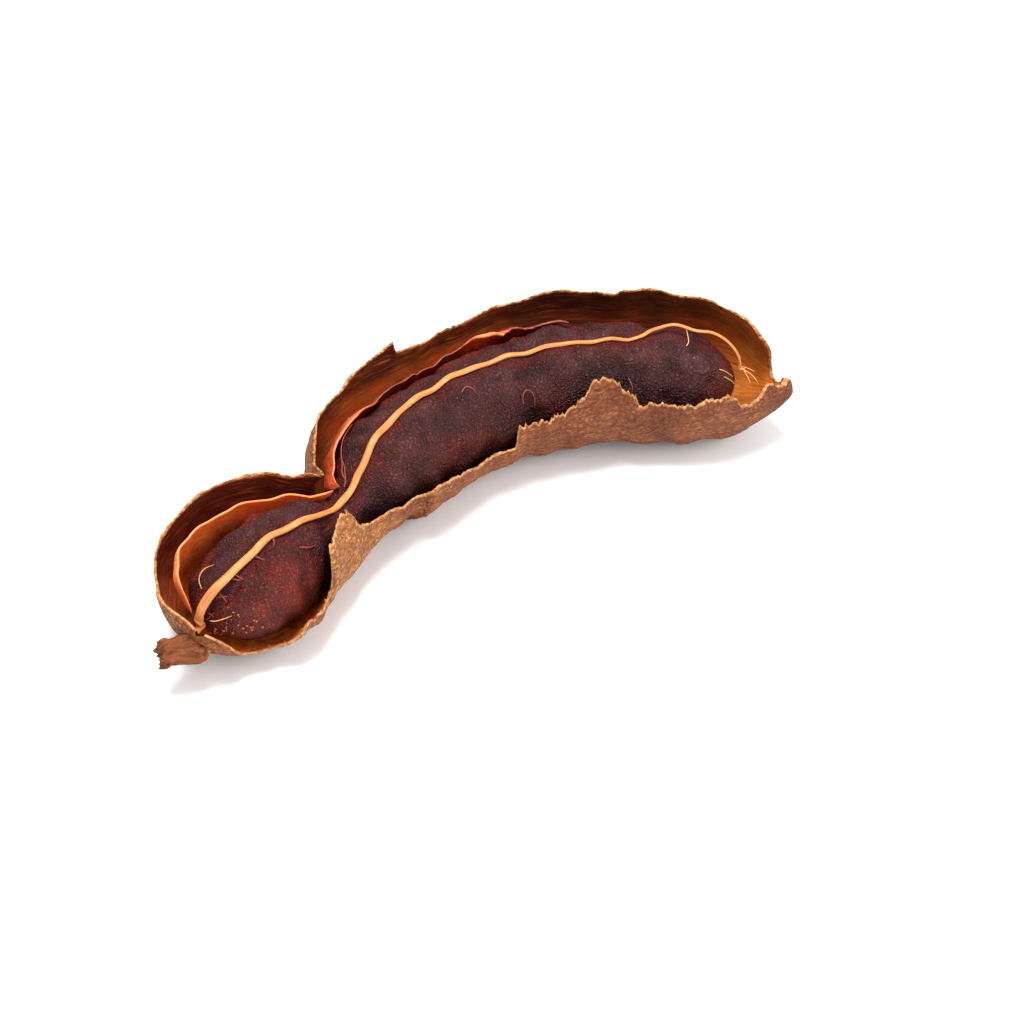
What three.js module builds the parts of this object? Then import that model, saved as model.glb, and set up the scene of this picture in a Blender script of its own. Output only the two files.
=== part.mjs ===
// Tamarind pod lying on its side with the upper half of its shell broken away.
// Units are millimetres, +Z is up and +X runs along the pod, the stalk end at -X.
import * as THREE from 'three';

// Middle line of the pod from the stalk to the beak: x, y, z, half width, half height.
const STATIONS = [
  [-66.5, 1.4, 10.2, 11.0, 10.9],
  [-61.3, 4.6, 12.4, 13.6, 12.4],
  [-55.0, 8.0, 14.4, 15.9, 14.5],
  [-48.0, 11.0, 15.0, 16.2, 15.2],
  [-41.0, 12.8, 14.6, 14.6, 14.5],
  [-34.0, 14.0, 13.2, 11.0, 11.5],
  [-27.9, 15.6, 12.6, 8.4, 9.6],
  [-23.4, 18.8, 13.2, 10.4, 11.2],
  [-17.5, 22.8, 14.6, 14.0, 14.0],
  [-8.0, 26.2, 15.0, 15.2, 15.0],
  [2.0, 28.2, 15.0, 14.5, 14.7],
  [11.0, 28.8, 15.0, 14.8, 14.8],
  [20.0, 28.3, 15.2, 15.8, 15.2],
  [29.0, 26.0, 15.2, 15.8, 15.2],
  [38.0, 22.0, 15.0, 15.2, 15.0],
  [46.0, 16.8, 15.0, 15.0, 15.0],
  [53.0, 10.8, 14.6, 13.6, 14.2],
  [59.0, 5.2, 13.6, 10.4, 11.4],
  [65.5, -0.5, 12.6, 5.2, 6.0],
];
const NEAR_CAP = 11;
const FAR_CAP = 15;
const WALL = 1.2;
const FAR_WALL = 2.4;
const FLOOR = 0.4;

// Broken edges of the shell: distance along the pod, angle round it.
// The angle is 0 at the back, 90 on top, 180 at the front and 270 underneath.
const OPENING = [0.85, 147.4];
const BACK_RIM = [
  [0, 98], [0.85, 98], [1.8, 74], [2.6, 52], [3.6, 36], [5, 24], [7, 18], [9, 17], [13, 22], [17, 27],
  [21, 33], [25, 38], [29, 39], [33, 39], [36, 42], [39, 48], [41.5, 56], [43.2, 60], [44.8, 58],
  [46, 50], [47.2, 42], [49.4, 44], [51.4, 44], [53, 40], [55, 29], [57, 24], [60, 23], [63, 25],
  [66, 31], [69, 36], [72.6, 44], [73.2, 36], [75, 37], [79, 31], [83, 29], [87, 33], [92, 37],
  [96, 39], [100, 42], [105, 43], [109, 38], [113, 38], [113.8, 43], [119, 44], [124, 43], [129, 43],
  [134, 46], [138, 52], [140.8, 54], [142.1, 48], [142.8, 30], [143.4, 5], [144.2, -14], [145.4, -22],
  [147, -8], [147.4, 60], [200, 60],
];
const FRONT_RIM = [
  [0, 98], [0.85, 98], [1.3, 150], [2, 196], [3, 214], [4.5, 217], [6, 216], [8, 213], [10, 210],
  [12, 204], [14.2, 197], [17, 193.5], [21.5, 190], [24.8, 187], [26.4, 182], [27.2, 165],
  [27.8, 148], [29.2, 143], [31, 140.5], [32.4, 133],
  [34, 128], [36.2, 130], [37.6, 137], [38.4, 146], [40, 154], [42, 162], [45, 168], [48, 178],
  [53, 182], [56, 178], [60, 179], [66, 183], [71, 189], [77, 190], [83, 188], [84.2, 172], [88, 171],
  [93, 172], [97, 169], [100.5, 164], [103, 157], [106, 147], [107.6, 144.5], [110.4, 148],
  [113, 154], [116.5, 163], [118.7, 170], [122, 167], [126, 167], [130, 168], [133, 161],
  [136.5, 157], [138.2, 159], [139.2, 165], [140.8, 169], [142.1, 161], [142.8, 150], [143.4, 134],
  [144.2, 133], [145.4, 134], [147, 122], [147.4, 60], [200, 60],
];
// How far the back edge is bent outwards.
const FLARE = [
  [0, 0], [10, 0.4], [17, 1.2], [22, 0.5], [28, 0], [62, 0], [72.6, 2.3], [73.2, 0.2], [97, 0],
  [103, 0.6], [108, 0], [113, 0], [114, 0.6], [120, 0.2], [124, 0], [200, 0],
];
// Stations of the shell's rings, close together where its edge steps.
const RINGS = [
  0, 0.25, 0.85, 1.3, 1.8, 2.6, 3.6, 5, 7, 9, 11.2, 13.5, 16, 18.5, 21, 23, 24.8, 26.4, 27.2, 27.8,
  29.2, 31, 32.4, 34, 36.2, 37.6, 38.4, 40, 41.5, 43.2, 44.8, 46, 47.2, 49.4, 51.4, 53, 55, 57, 59.5,
  62, 64.5, 67, 69, 71, 72.6, 73.2, 75, 77.2, 79.5, 81.5, 83, 84.2, 86, 88, 90.5, 93, 95, 97, 99,
  100.5, 102, 103, 104.5, 106, 107.6, 109, 110.4, 111.8, 113, 113.8, 115, 116.5, 118.7, 120.5, 122,
  124, 126, 128, 130, 131.6, 133, 134.8, 136.5, 138.2, 139.2, 140.8, 142.1, 142.8, 143.4,
  144.2, 145.4, 146.3, 147, 147.4, 148.1,
];
const ROUND = 17;

// Pulp: distance along the pod, shift to the back, shift up, half width, half height.
const PULP = [
  [3.6, -0.8, -0.6, 5.4, 5.2],
  [9, -1.7, -1.5, 8.9, 8.5],
  [16, -2.3, -1.8, 10.3, 10.3],
  [23, -2.2, -1.8, 10.2, 10.5],
  [30, -1.6, -1.4, 8.4, 9.1],
  [36, -0.9, -0.8, 5.8, 6.8],
  [41.5, -0.4, -0.4, 4.2, 5.4],
  [47, -0.8, -0.8, 5.9, 7.2],
  [52.5, -1.5, -1.1, 8.5, 9.5],
  [60, -1.9, -1.4, 10.2, 10.8],
  [70, -1.7, -1.5, 9.8, 10.4],
  [81, -1.8, -1.5, 10.3, 10.7],
  [91, -1.8, -1.5, 10.3, 10.6],
  [102, -1.6, -1.5, 11.1, 11.2],
  [112, -1.6, -1.4, 10.4, 10.8],
  [122, -1.8, -1.4, 10.0, 10.6],
  [129, -1.7, -1.4, 9.0, 9.4],
  [137, -1.2, -1.3, 6.3, 6.6],
];
const PULP_NEAR_CAP = 7;
const PULP_FAR_CAP = 8;
const PULP_RINGS = 62;
const PULP_SIDES = 26;

// Main strand: distance along the pod, angle on the pulp, lift above the pulp, half thickness.
const STRAND = [
  [2.6, 62, 2.9, 0.9], [3.4, 67, 2.9, 1.15], [4.8, 76, 2.6, 1.3], [7, 85, 2.1, 1.3],
  [10.5, 92, 1.7, 1.15], [16, 96, 1.4, 1.0], [22.5, 99, 1.35, 0.95], [27, 103, 1.3, 0.9],
  [32, 105, 1.3, 0.85],
  [37.5, 104, 1.4, 0.85], [41, 102, 1.6, 0.95], [44, 97, 1.5, 0.95], [48, 94, 1.4, 0.9],
  [53.5, 93, 1.3, 0.9], [59, 91, 1.3, 0.88], [65.9, 86, 1.25, 0.85], [71.5, 84, 1.2, 0.82],
  [78, 86, 1.2, 0.8], [84, 88, 1.15, 0.75], [90, 93, 1.15, 0.72], [97, 98, 1.1, 0.65],
  [104, 99, 1.05, 0.6], [112, 96, 1.0, 0.55], [117.4, 92, 0.95, 0.5], [119.6, 82, 0.95, 0.5],
  [121.8, 76, 1.1, 0.48], [125, 75, 1.7, 0.46], [128.5, 76, 2.4, 0.45], [131.6, 77, 3.4, 0.43],
  [134.2, 80, 4.4, 0.41], [136.4, 84, 5.2, 0.4], [138.2, 87, 5.5, 0.38],
];
const STRAND_RINGS = 88;
const STRAND_SIDES = 9;

// Membranes between pulp and shell: distance along the pod, angle of the free edge,
// share of the gap between pulp and shell at that edge.
const MEMBRANES = {
  membrane_near: [
    [5.4, 64, 0.5], [6.5, 52, 0.62], [9, 46, 0.7], [12, 44, 0.7], [15, 43, 0.66], [18, 44, 0.56],
    [22, 46, 0.44], [26, 49, 0.36], [30, 51, 0.3], [34, 54, 0.28], [37, 58, 0.28], [39.5, 66, 0.32],
    [41, 76, 0.38],
  ],
  membrane_long: [
    [43.2, 80, 0.4], [44.6, 68, 0.36], [46.4, 58, 0.34], [48.5, 54, 0.36], [50.5, 53, 0.42],
    [53, 53, 0.38], [56, 54, 0.3], [60, 55, 0.22], [65, 56, 0.2], [70, 56, 0.2], [74, 56, 0.24],
    [78, 55, 0.22], [81.5, 55, 0.26], [84.5, 55, 0.42], [87, 56, 0.5], [89.5, 57, 0.46],
    [91.5, 60, 0.36],
  ],
};
const MEMBRANE_REACH = 70;
const MEMBRANE_HALF = 0.33;
const MEMBRANE_BEAD = 0.24;

// Stalk: x, y, z, half width, half height, roughness and lean of the ring along the stalk.
const STALK = [
  [-73.9, 3.0, 10.5, 2.5, 2.5, 0.5, 0],
  [-73.2, 2.9, 10.4, 3.0, 2.9, 0.35, 0],
  [-71.6, 2.6, 10.2, 2.7, 2.6, 0, -0.15],
  [-70.0, 2.3, 10.0, 2.8, 2.7, 0, -0.4],
  [-68.9, 2.2, 9.8, 3.1, 3.0, 0, -0.6],
  [-68.2, 2.1, 9.7, 2.6, 2.6, 0, -0.65],
];
const STALK_ALONG = new THREE.Vector3(0.97, -0.18, -0.13).normalize();
const STALK_SIDE = new THREE.Vector3(0, 0, 1).cross(STALK_ALONG).normalize();
const STALK_UP = STALK_ALONG.clone().cross(STALK_SIDE);

const COLOURS = {
  shell: 0xa9713f,
  stalk: 0x7d5233,
  pulp: 0x3a1720,
  main_strand: 0xe0a55c,
  membrane_near: 0xb2481c,
  membrane_long: 0x9a3418,
};

const clamp = (v, lo, hi) => Math.min(hi, Math.max(lo, v));
const radians = (deg) => (deg * Math.PI) / 180;
const smooth = (v) => v * v * (3 - 2 * v);

// Value at x of a table whose rows start with their position.
function read(rows, x, column = 1) {
  if (x <= rows[0][0]) return rows[0][column];
  for (let i = 1; i < rows.length; i += 1) {
    if (x <= rows[i][0]) {
      const t = (x - rows[i - 1][0]) / (rows[i][0] - rows[i - 1][0]);
      return rows[i - 1][column] * (1 - t) + rows[i][column] * t;
    }
  }
  return rows[rows.length - 1][column];
}

// Smooth curve through the rows, u counted in rows.
function curve(rows, u) {
  const last = rows.length - 1;
  const i = clamp(Math.floor(u), 0, last - 1);
  const t = u - i;
  return rows[0].map((_, k) => {
    const b = rows[i][k];
    const c = rows[i + 1][k];
    const a = i > 0 ? rows[i - 1][k] : 2 * b - c;
    const d = i + 2 <= last ? rows[i + 2][k] : 2 * c - b;
    const square = 2 * a - 5 * b + 4 * c - d;
    const cube = 3 * b - a - 3 * c + d;
    return 0.5 * (2 * b + (c - a) * t + square * t * t + cube * t * t * t);
  });
}

// The middle line as a fine table: distance, x, y, z, half width, half height.
const LINE = [];
for (let k = 0; k <= 1800; k += 1) {
  const p = curve(STATIONS, (k / 1800) * (STATIONS.length - 1));
  const q = LINE[k - 1];
  const s = k === 0 ? 0 : q[0] + Math.hypot(p[0] - q[1], p[1] - q[2], p[2] - q[3]);
  LINE.push([s, ...p]);
}
const LENGTH = LINE[1800][0];

// Row of a fine table at distance s, found by halving.
function lookUp(rows, s) {
  let lo = 0;
  let hi = rows.length - 1;
  while (hi - lo > 1) {
    const mid = (lo + hi) >> 1;
    if (rows[mid][0] <= s) lo = mid;
    else hi = mid;
  }
  const t = clamp((s - rows[lo][0]) / (rows[hi][0] - rows[lo][0]), 0, 1);
  return rows[lo].map((v, k) => v * (1 - t) + rows[hi][k] * t);
}

// Centre, the two directions across the pod, and its half sizes at distance s.
function section(s) {
  const row = lookUp(LINE, s);
  const ahead = lookUp(LINE, Math.min(s + 0.4, LENGTH));
  const behind = lookUp(LINE, Math.max(s - 0.4, 0));
  const along = new THREE.Vector3(ahead[1] - behind[1], ahead[2] - behind[2], ahead[3] - behind[3]);
  along.normalize();
  const back = new THREE.Vector3(0, 0, 1).cross(along).normalize();
  const up = along.clone().cross(back);
  return { centre: new THREE.Vector3(row[1], row[2], row[3]), along, back, up, a: row[4], b: row[5] };
}

// Rounding of an end, 0 at the tip and 1 from a length inwards.
const dome = (x, length) => Math.sqrt(Math.max(0, 1 - (1 - clamp(x / length, 0, 1)) ** 2));

function across(at, x, z) {
  return at.centre.clone().addScaledVector(at.back, x).addScaledVector(at.up, z);
}

// Point of the shell, inset 0 on its outside and WALL on its inside.
function shellPoint(along, deg, inset) {
  let s = along;
  if (inset > 0 && along < 12) s = inset + along * (1 - inset / 12);
  if (inset > 0 && along > LENGTH - 24) s = along - (FAR_WALL * (along - LENGTH + 24)) / 24;
  const start = inset > 0 ? inset : 0;
  const end = inset > 0 ? LENGTH - FAR_WALL : LENGTH;
  const at = section(s);
  const round = dome(s - start, NEAR_CAP) * dome(end - s, FAR_CAP);
  const t = radians(deg);
  const bulge = 0.3 * Math.sin(0.42 * s + 1.3 * Math.cos(t)) * Math.cos(t - 0.12 * s)
    + 0.16 * Math.sin(0.71 * s - 2 * t);
  const rim = read(BACK_RIM, along);
  const turned = deg > 270 ? deg - 360 : deg;
  const lip = turned < 95 ? clamp((turned - rim + 28) / 28, 0, 1) : 0;
  const grow = bulge + read(FLARE, along) * smooth(lip) - inset;
  const p = across(at, (at.a + grow) * round * Math.cos(t), (at.b + grow) * round * Math.sin(t));
  p.z = Math.max(p.z, FLOOR + 0.9 * inset);
  return p;
}

const PULP_LINE = [];
for (let k = 0; k <= 900; k += 1) {
  PULP_LINE.push(curve(PULP, (k / 900) * (PULP.length - 1)));
}

// Point of the pulp's skin, or a point lifted off it.
function pulpPoint(along, deg, lift = 0) {
  const start = PULP[0][0];
  const end = PULP[PULP.length - 1][0];
  const s = clamp(along, start, end);
  const [, shiftBack, shiftUp, a, b] = lookUp(PULP_LINE, s);
  const round = dome(s - start, PULP_NEAR_CAP) * dome(end - s, PULP_FAR_CAP);
  const t = radians(deg);
  const knob = 0.25 * Math.sin(0.55 * s + 2 * t) + 0.18 * Math.sin(0.9 * s - 3 * t + 1);
  return across(
    section(along),
    shiftBack + ((a + knob) * round + lift) * Math.cos(t),
    shiftUp + ((b + knob) * round + lift) * Math.sin(t),
  );
}

// Collects triangles; points listed twice are merged when the solid is built.
class Skin {
  constructor() {
    this.points = [];
  }

  triangle(a, b, c) {
    if (a.distanceTo(b) < 1e-3 || b.distanceTo(c) < 1e-3 || c.distanceTo(a) < 1e-3) return;
    for (const p of [a, b, c]) this.points.push(p.x, p.y, p.z);
  }

  // The corners run anticlockwise seen from outside.
  quad(a, b, c, d) {
    if (a.distanceTo(c) <= b.distanceTo(d)) {
      this.triangle(a, b, c);
      this.triangle(a, c, d);
    } else {
      this.triangle(a, b, d);
      this.triangle(b, c, d);
    }
  }

  // Skin between rings of equal count that turn from the back over the top.
  rings(list, closed) {
    for (let i = 0; i + 1 < list.length; i += 1) {
      const count = closed ? list[i].length : list[i].length - 1;
      for (let j = 0; j < count; j += 1) {
        const k = (j + 1) % list[i].length;
        this.quad(list[i][j], list[i][k], list[i + 1][k], list[i + 1][j]);
      }
    }
  }

  fan(ring, tip) {
    for (let j = 0; j < ring.length; j += 1) {
      this.triangle(ring[j], ring[(j + 1) % ring.length], tip);
    }
  }

  geometry() {
    const geometry = new THREE.BufferGeometry();
    geometry.setAttribute('position', new THREE.Float32BufferAttribute(this.points, 3));
    geometry.computeVertexNormals();
    return geometry;
  }
}

// Small teeth of the broken edges, in degrees, fading out at both ends of the opening.
function teeth(s, phase) {
  const fade = clamp(Math.min(s - OPENING[0], OPENING[1] - s) / 4, 0, 1);
  return fade * (1.2 * Math.sin(2.9 * s + phase) + 0.9 * Math.sin(5.3 * s + 1 - phase));
}

// The shell: outside, inside and the broken edges between them.
function shellGeometry() {
  const skin = new Skin();
  const outside = [];
  const inside = [];
  for (const s of [...RINGS, LENGTH]) {
    const first = read(FRONT_RIM, s) + teeth(s, 0);
    const last = read(BACK_RIM, s) + 360 + 0.6 * teeth(s, 2);
    const row = (inset) => Array.from({ length: ROUND + 1 }, (_, j) => (
      shellPoint(s, first + ((last - first) * j) / ROUND, inset)
    ));
    outside.push(row(0));
    inside.push(row(WALL));
  }
  for (let i = 0; i + 1 < outside.length; i += 1) {
    for (let j = 0; j < ROUND; j += 1) {
      skin.quad(outside[i][j], outside[i][j + 1], outside[i + 1][j + 1], outside[i + 1][j]);
      skin.quad(inside[i][j], inside[i + 1][j], inside[i + 1][j + 1], inside[i][j + 1]);
    }
    const middle = (RINGS[i] + (RINGS[i + 1] ?? LENGTH)) / 2;
    if (middle > OPENING[0] && middle < OPENING[1]) {
      skin.quad(outside[i][0], outside[i + 1][0], inside[i + 1][0], inside[i][0]);
      skin.quad(outside[i][ROUND], inside[i][ROUND], inside[i + 1][ROUND], outside[i + 1][ROUND]);
    }
  }
  return skin.geometry();
}

function pulpGeometry() {
  const skin = new Skin();
  const start = PULP[0][0];
  const end = PULP[PULP.length - 1][0];
  const rings = [];
  for (let i = 0; i <= PULP_RINGS; i += 1) {
    const u = i / PULP_RINGS;
    const s = start + (end - start) * (u - (0.045 * Math.sin(2 * Math.PI * u)) / 2);
    rings.push(Array.from({ length: PULP_SIDES }, (_, j) => pulpPoint(s, (360 * j) / PULP_SIDES)));
  }
  skin.rings(rings, true);
  return skin.geometry();
}

// Tube along a list of points with a half thickness at each.
function tubeGeometry(path, sides) {
  const skin = new Skin();
  const side = new THREE.Vector3();
  const rings = path.map(({ point, half }, i) => {
    const ahead = path[Math.min(i + 1, path.length - 1)].point;
    const behind = path[Math.max(i - 1, 0)].point;
    const along = ahead.clone().sub(behind).normalize();
    const across1 = new THREE.Vector3(0, 0, 1).cross(along).normalize();
    const across2 = along.clone().cross(across1);
    return Array.from({ length: sides }, (_, j) => {
      const t = (2 * Math.PI * j) / sides;
      side.copy(across1).multiplyScalar(Math.cos(t)).addScaledVector(across2, 0.8 * Math.sin(t));
      return point.clone().addScaledVector(side, half);
    });
  });
  skin.rings(rings, true);
  skin.fan([...rings[0]].reverse(), path[0].point);
  skin.fan(rings[rings.length - 1], path[path.length - 1].point);
  return skin.geometry();
}

function strandGeometry() {
  const path = Array.from({ length: STRAND_RINGS + 1 }, (_, i) => {
    const [s, deg, lift, half] = curve(STRAND, (i / STRAND_RINGS) * (STRAND.length - 1));
    return { point: pulpPoint(s, deg, lift), half };
  });
  return tubeGeometry(path, STRAND_SIDES);
}

// A thin sheet standing between pulp and shell, its free edge a little thicker.
function membraneGeometry(rows) {
  const skin = new Skin();
  const first = rows[0][0];
  const last = rows[rows.length - 1][0];
  const steps = Math.round((last - first) / 1.25);
  const drops = [0, 0.05, 0.14, 0.3, 0.5, 0.75, 1];
  const inner = [];
  const outer = [];
  for (let i = 0; i <= steps; i += 1) {
    const s = first + ((last - first) * i) / steps;
    const taper = Math.min(1, 0.35 + (s - first) / 6, 0.35 + (last - s) / 6);
    const a = [];
    const b = [];
    for (const drop of drops) {
      const deg = read(rows, s) - MEMBRANE_REACH * taper * drop;
      const low = pulpPoint(s, deg);
      const gap = shellPoint(s, deg, WALL).sub(low);
      const length = gap.length();
      const half = MEMBRANE_HALF + (drop < 0.1 ? MEMBRANE_BEAD : 0);
      const wave = 0.12 * Math.sin(1.1 * s) * (1 - drop);
      const share = read(rows, s, 2) * (1 - 0.5 * drop);
      const middle = clamp(share * length + wave, half + 0.5, length - half - 0.5);
      gap.normalize();
      a.push(low.clone().addScaledVector(gap, middle - half));
      b.push(low.clone().addScaledVector(gap, middle + half));
    }
    inner.push(a);
    outer.push(b);
  }
  skin.rings(inner, false);
  skin.rings(outer.map((ring) => [...ring].reverse()), false);
  const foot = drops.length - 1;
  for (let i = 0; i < steps; i += 1) {
    skin.quad(inner[i][0], inner[i + 1][0], outer[i + 1][0], outer[i][0]);
    skin.quad(inner[i][foot], outer[i][foot], outer[i + 1][foot], inner[i + 1][foot]);
  }
  for (let j = 0; j < foot; j += 1) {
    skin.quad(inner[0][j], outer[0][j], outer[0][j + 1], inner[0][j + 1]);
    skin.quad(inner[steps][j], inner[steps][j + 1], outer[steps][j + 1], outer[steps][j]);
  }
  return skin.geometry();
}

// The broken stalk: a ridged stub with a rough end, set against the tip of the shell.
function stalkGeometry() {
  const skin = new Skin();
  const rings = STALK.map(([x, y, z, wide, high, rough, lean], i) => (
    Array.from({ length: 12 }, (_, j) => {
      const t = (2 * Math.PI * j) / 12;
      const ridge = 1 + 0.1 * Math.cos(4 * t + 0.6) + 0.05 * Math.sin(7 * t + i);
      const ragged = rough * Math.sin(2.3 * j + 1) + lean * wide * Math.cos(t);
      const point = new THREE.Vector3(x, y, z);
      point.addScaledVector(STALK_SIDE, wide * ridge * Math.cos(t));
      point.addScaledVector(STALK_UP, high * ridge * Math.sin(t));
      return point.addScaledVector(STALK_ALONG, ragged);
    })
  ));
  const end = (k) => new THREE.Vector3(...STALK[k].slice(0, 3));
  skin.rings(rings, true);
  skin.fan([...rings[0]].reverse(), end(0).addScaledVector(STALK_ALONG, 0.5));
  skin.fan(rings[rings.length - 1], end(STALK.length - 1));
  return skin.geometry();
}

const part = new THREE.Group();
part.name = 'tamarind_pod';
const material = (name, roughness) => {
  const made = new THREE.MeshStandardMaterial({ color: COLOURS[name], roughness, metalness: 0 });
  made.name = name;
  return made;
};
const add = (name, geometry, look) => {
  const mesh = new THREE.Mesh(geometry, look);
  mesh.name = name;
  part.add(mesh);
};

add('shell', shellGeometry(), material('shell', 0.85));
add('stalk', stalkGeometry(), material('stalk', 0.9));
add('pulp', pulpGeometry(), material('pulp', 0.45));
add('main_strand', strandGeometry(), material('main_strand', 0.6));
for (const [name, rows] of Object.entries(MEMBRANES)) {
  add(name, membraneGeometry(rows), material(name, 0.5));
}

const box = new THREE.Box3().setFromObject(part);
const middle = box.getCenter(new THREE.Vector3());
for (const mesh of part.children) {
  mesh.geometry.translate(-middle.x, -middle.y, -box.min.z);
}
export default part;
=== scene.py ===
import math

import bpy
import numpy as np
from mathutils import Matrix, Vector


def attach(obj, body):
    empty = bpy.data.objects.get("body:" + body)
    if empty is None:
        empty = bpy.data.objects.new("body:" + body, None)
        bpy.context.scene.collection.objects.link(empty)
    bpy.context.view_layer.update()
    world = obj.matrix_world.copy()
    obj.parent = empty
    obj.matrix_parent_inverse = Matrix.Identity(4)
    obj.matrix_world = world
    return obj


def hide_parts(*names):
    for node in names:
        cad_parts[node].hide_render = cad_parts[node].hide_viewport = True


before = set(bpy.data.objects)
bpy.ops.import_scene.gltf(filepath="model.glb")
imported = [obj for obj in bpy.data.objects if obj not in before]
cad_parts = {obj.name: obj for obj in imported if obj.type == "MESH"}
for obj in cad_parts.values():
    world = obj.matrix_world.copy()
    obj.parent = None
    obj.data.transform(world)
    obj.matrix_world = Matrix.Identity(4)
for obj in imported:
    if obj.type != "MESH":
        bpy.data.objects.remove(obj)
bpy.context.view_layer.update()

bl_info = {
    "name": "Opened Tamarind Pod",
    "version": (1, 0, 0),
    "blender": (4, 5, 0),
    "location": "View3D > Sidebar > Tamarind",
    "description": "Builds an opened tamarind pod with its pulp, fibres and a studio stage",
    "category": "Object",
}

# The pod's forms are worked out in millimetres, in the pod's own working place.
# SHIFT is the point of that place which becomes the origin, and FLOOR the height of the surface there.
SHIFT = np.array([-4.39234, 19.49039, 0.4])
FLOOR = 0.4
# Millimetres in a metre.
MM = 1000
# Lengths of the rounded ends of the shell and of the pulp.
NEAR_CAP = 11.0
FAR_CAP = 15.0
PULP_NEAR_CAP = 7.0
PULP_FAR_CAP = 8.0
# Thickness of wall that the membranes keep clear of, and how far the hollow ends before the beak's tip.
WALL = 1.2
FAR_WALL = 1.5
# Lengths over which the inside draws back from both ends.
NEAR_RUN = 12
FAR_RUN = 24
# Stretch along the pod where the shell is open, and the width of its flared lip in degrees.
OPENING = (0.85, 147.4)
LIP = 28

# Middle line from the stalk to the beak: x, y, z, half width, half height.
STATIONS = np.array([
    (-66.5, 1.4, 10.2, 11.0, 10.9), (-61.3, 4.6, 12.4, 13.6, 12.4), (-55.0, 8.0, 14.4, 15.9, 14.5),
    (-48.0, 11.0, 15.0, 16.2, 15.2), (-41.0, 12.8, 14.6, 14.6, 14.5), (-34.0, 14.0, 13.2, 11.0, 11.5),
    (-27.9, 15.6, 12.6, 8.4, 9.6), (-23.4, 18.8, 13.2, 10.4, 11.2), (-17.5, 22.8, 14.6, 14.0, 14.0),
    (-8.0, 26.2, 15.0, 15.2, 15.0), (2.0, 28.2, 15.0, 14.5, 14.7), (11.0, 28.8, 15.0, 14.8, 14.8),
    (20.0, 28.3, 15.2, 15.8, 15.2), (29.0, 26.0, 15.2, 15.8, 15.2), (38.0, 22.0, 15.0, 15.2, 15.0),
    (46.0, 16.8, 15.0, 15.0, 15.0), (53.0, 10.8, 14.6, 13.6, 14.2), (59.0, 5.2, 13.6, 10.4, 11.4),
    (65.5, -0.5, 12.6, 5.2, 6.0),
])

# Broken edges of the shell: distance along the pod, angle round it in degrees.
# The angle is 0 at the back, 90 on top, 180 at the front and 270 underneath.
BACK_RIM = np.array([
    (0, 98), (0.85, 98), (1.8, 74), (2.6, 52), (3.6, 36), (5, 24), (7, 18), (9, 17), (13, 22), (17, 27),
    (21, 33), (25, 38), (29, 39), (33, 39), (36, 42), (39, 48), (41.5, 56), (43.2, 60), (44.8, 58),
    (46, 50), (47.2, 42), (49.4, 44), (51.4, 44), (53, 40), (55, 29), (57, 24), (60, 23), (63, 25),
    (66, 31), (69, 36), (72.6, 44), (73.2, 36), (75, 37), (79, 31), (83, 29), (87, 33), (92, 37),
    (96, 39), (100, 42), (105, 43), (109, 38), (113, 38), (113.8, 43), (119, 44), (124, 43), (129, 43),
    (134, 46), (138, 52), (140.8, 54), (142.1, 48), (142.8, 30), (143.4, 5), (144.2, -14), (145.4, -22),
    (147, -8), (147.4, 60), (200, 60),
], float)
FRONT_RIM = np.array([
    (0, 98), (0.85, 98), (1.3, 150), (2, 196), (3, 214), (4.5, 217), (6, 216), (8, 213), (10, 210),
    (12, 204), (14.2, 197), (17, 193.5), (21.5, 190), (24.8, 187), (26.4, 182), (27.2, 165), (27.8, 148),
    (29.2, 143), (31, 140.5), (32.4, 133), (34, 128), (36.2, 130), (37.6, 137), (38.4, 146), (40, 154),
    (42, 162), (45, 168), (48, 178), (53, 182), (56, 178), (60, 179), (66, 183), (71, 189), (77, 190),
    (83, 188), (84.2, 172), (88, 171), (93, 172), (97, 169), (100.5, 164), (103, 157), (106, 147),
    (107.6, 144.5), (110.4, 148), (113, 154), (116.5, 163), (118.7, 170), (122, 167), (126, 167),
    (130, 168), (133, 161), (136.5, 157), (138.2, 159), (139.2, 165), (140.8, 169), (142.1, 161),
    (142.8, 150), (143.4, 134), (144.2, 133), (145.4, 134), (147, 122), (147.4, 60), (200, 60),
], float)
# How far the back edge is bent outwards.
FLARE = np.array([
    (0, 0), (10, 0.4), (17, 1.2), (22, 0.5), (28, 0), (62, 0), (72.6, 2.3), (73.2, 0.2), (97, 0),
    (103, 0.6), (108, 0), (113, 0), (114, 0.6), (120, 0.2), (124, 0), (200, 0),
], float)

# Pulp: distance along the pod, shift to the back, shift up, half width, half height.
PULP = np.array([
    (3.6, -0.8, -0.6, 5.4, 5.2), (9, -1.7, -1.5, 8.9, 8.5), (16, -2.3, -1.8, 10.3, 10.3),
    (23, -2.2, -1.8, 10.2, 10.5), (30, -1.6, -1.4, 8.4, 9.1), (36, -0.9, -0.8, 5.8, 6.8),
    (41.5, -0.4, -0.4, 4.2, 5.4), (47, -0.8, -0.8, 5.9, 7.2), (52.5, -1.5, -1.1, 8.5, 9.5),
    (60, -1.9, -1.4, 10.2, 10.8), (70, -1.7, -1.5, 9.8, 10.4), (81, -1.8, -1.5, 10.3, 10.7),
    (91, -1.8, -1.5, 10.3, 10.6), (102, -1.6, -1.5, 11.1, 11.2), (112, -1.6, -1.4, 10.4, 10.8),
    (122, -1.8, -1.4, 10.0, 10.6), (129, -1.7, -1.4, 9.0, 9.4), (137, -1.2, -1.3, 6.3, 6.6),
], float)

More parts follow.
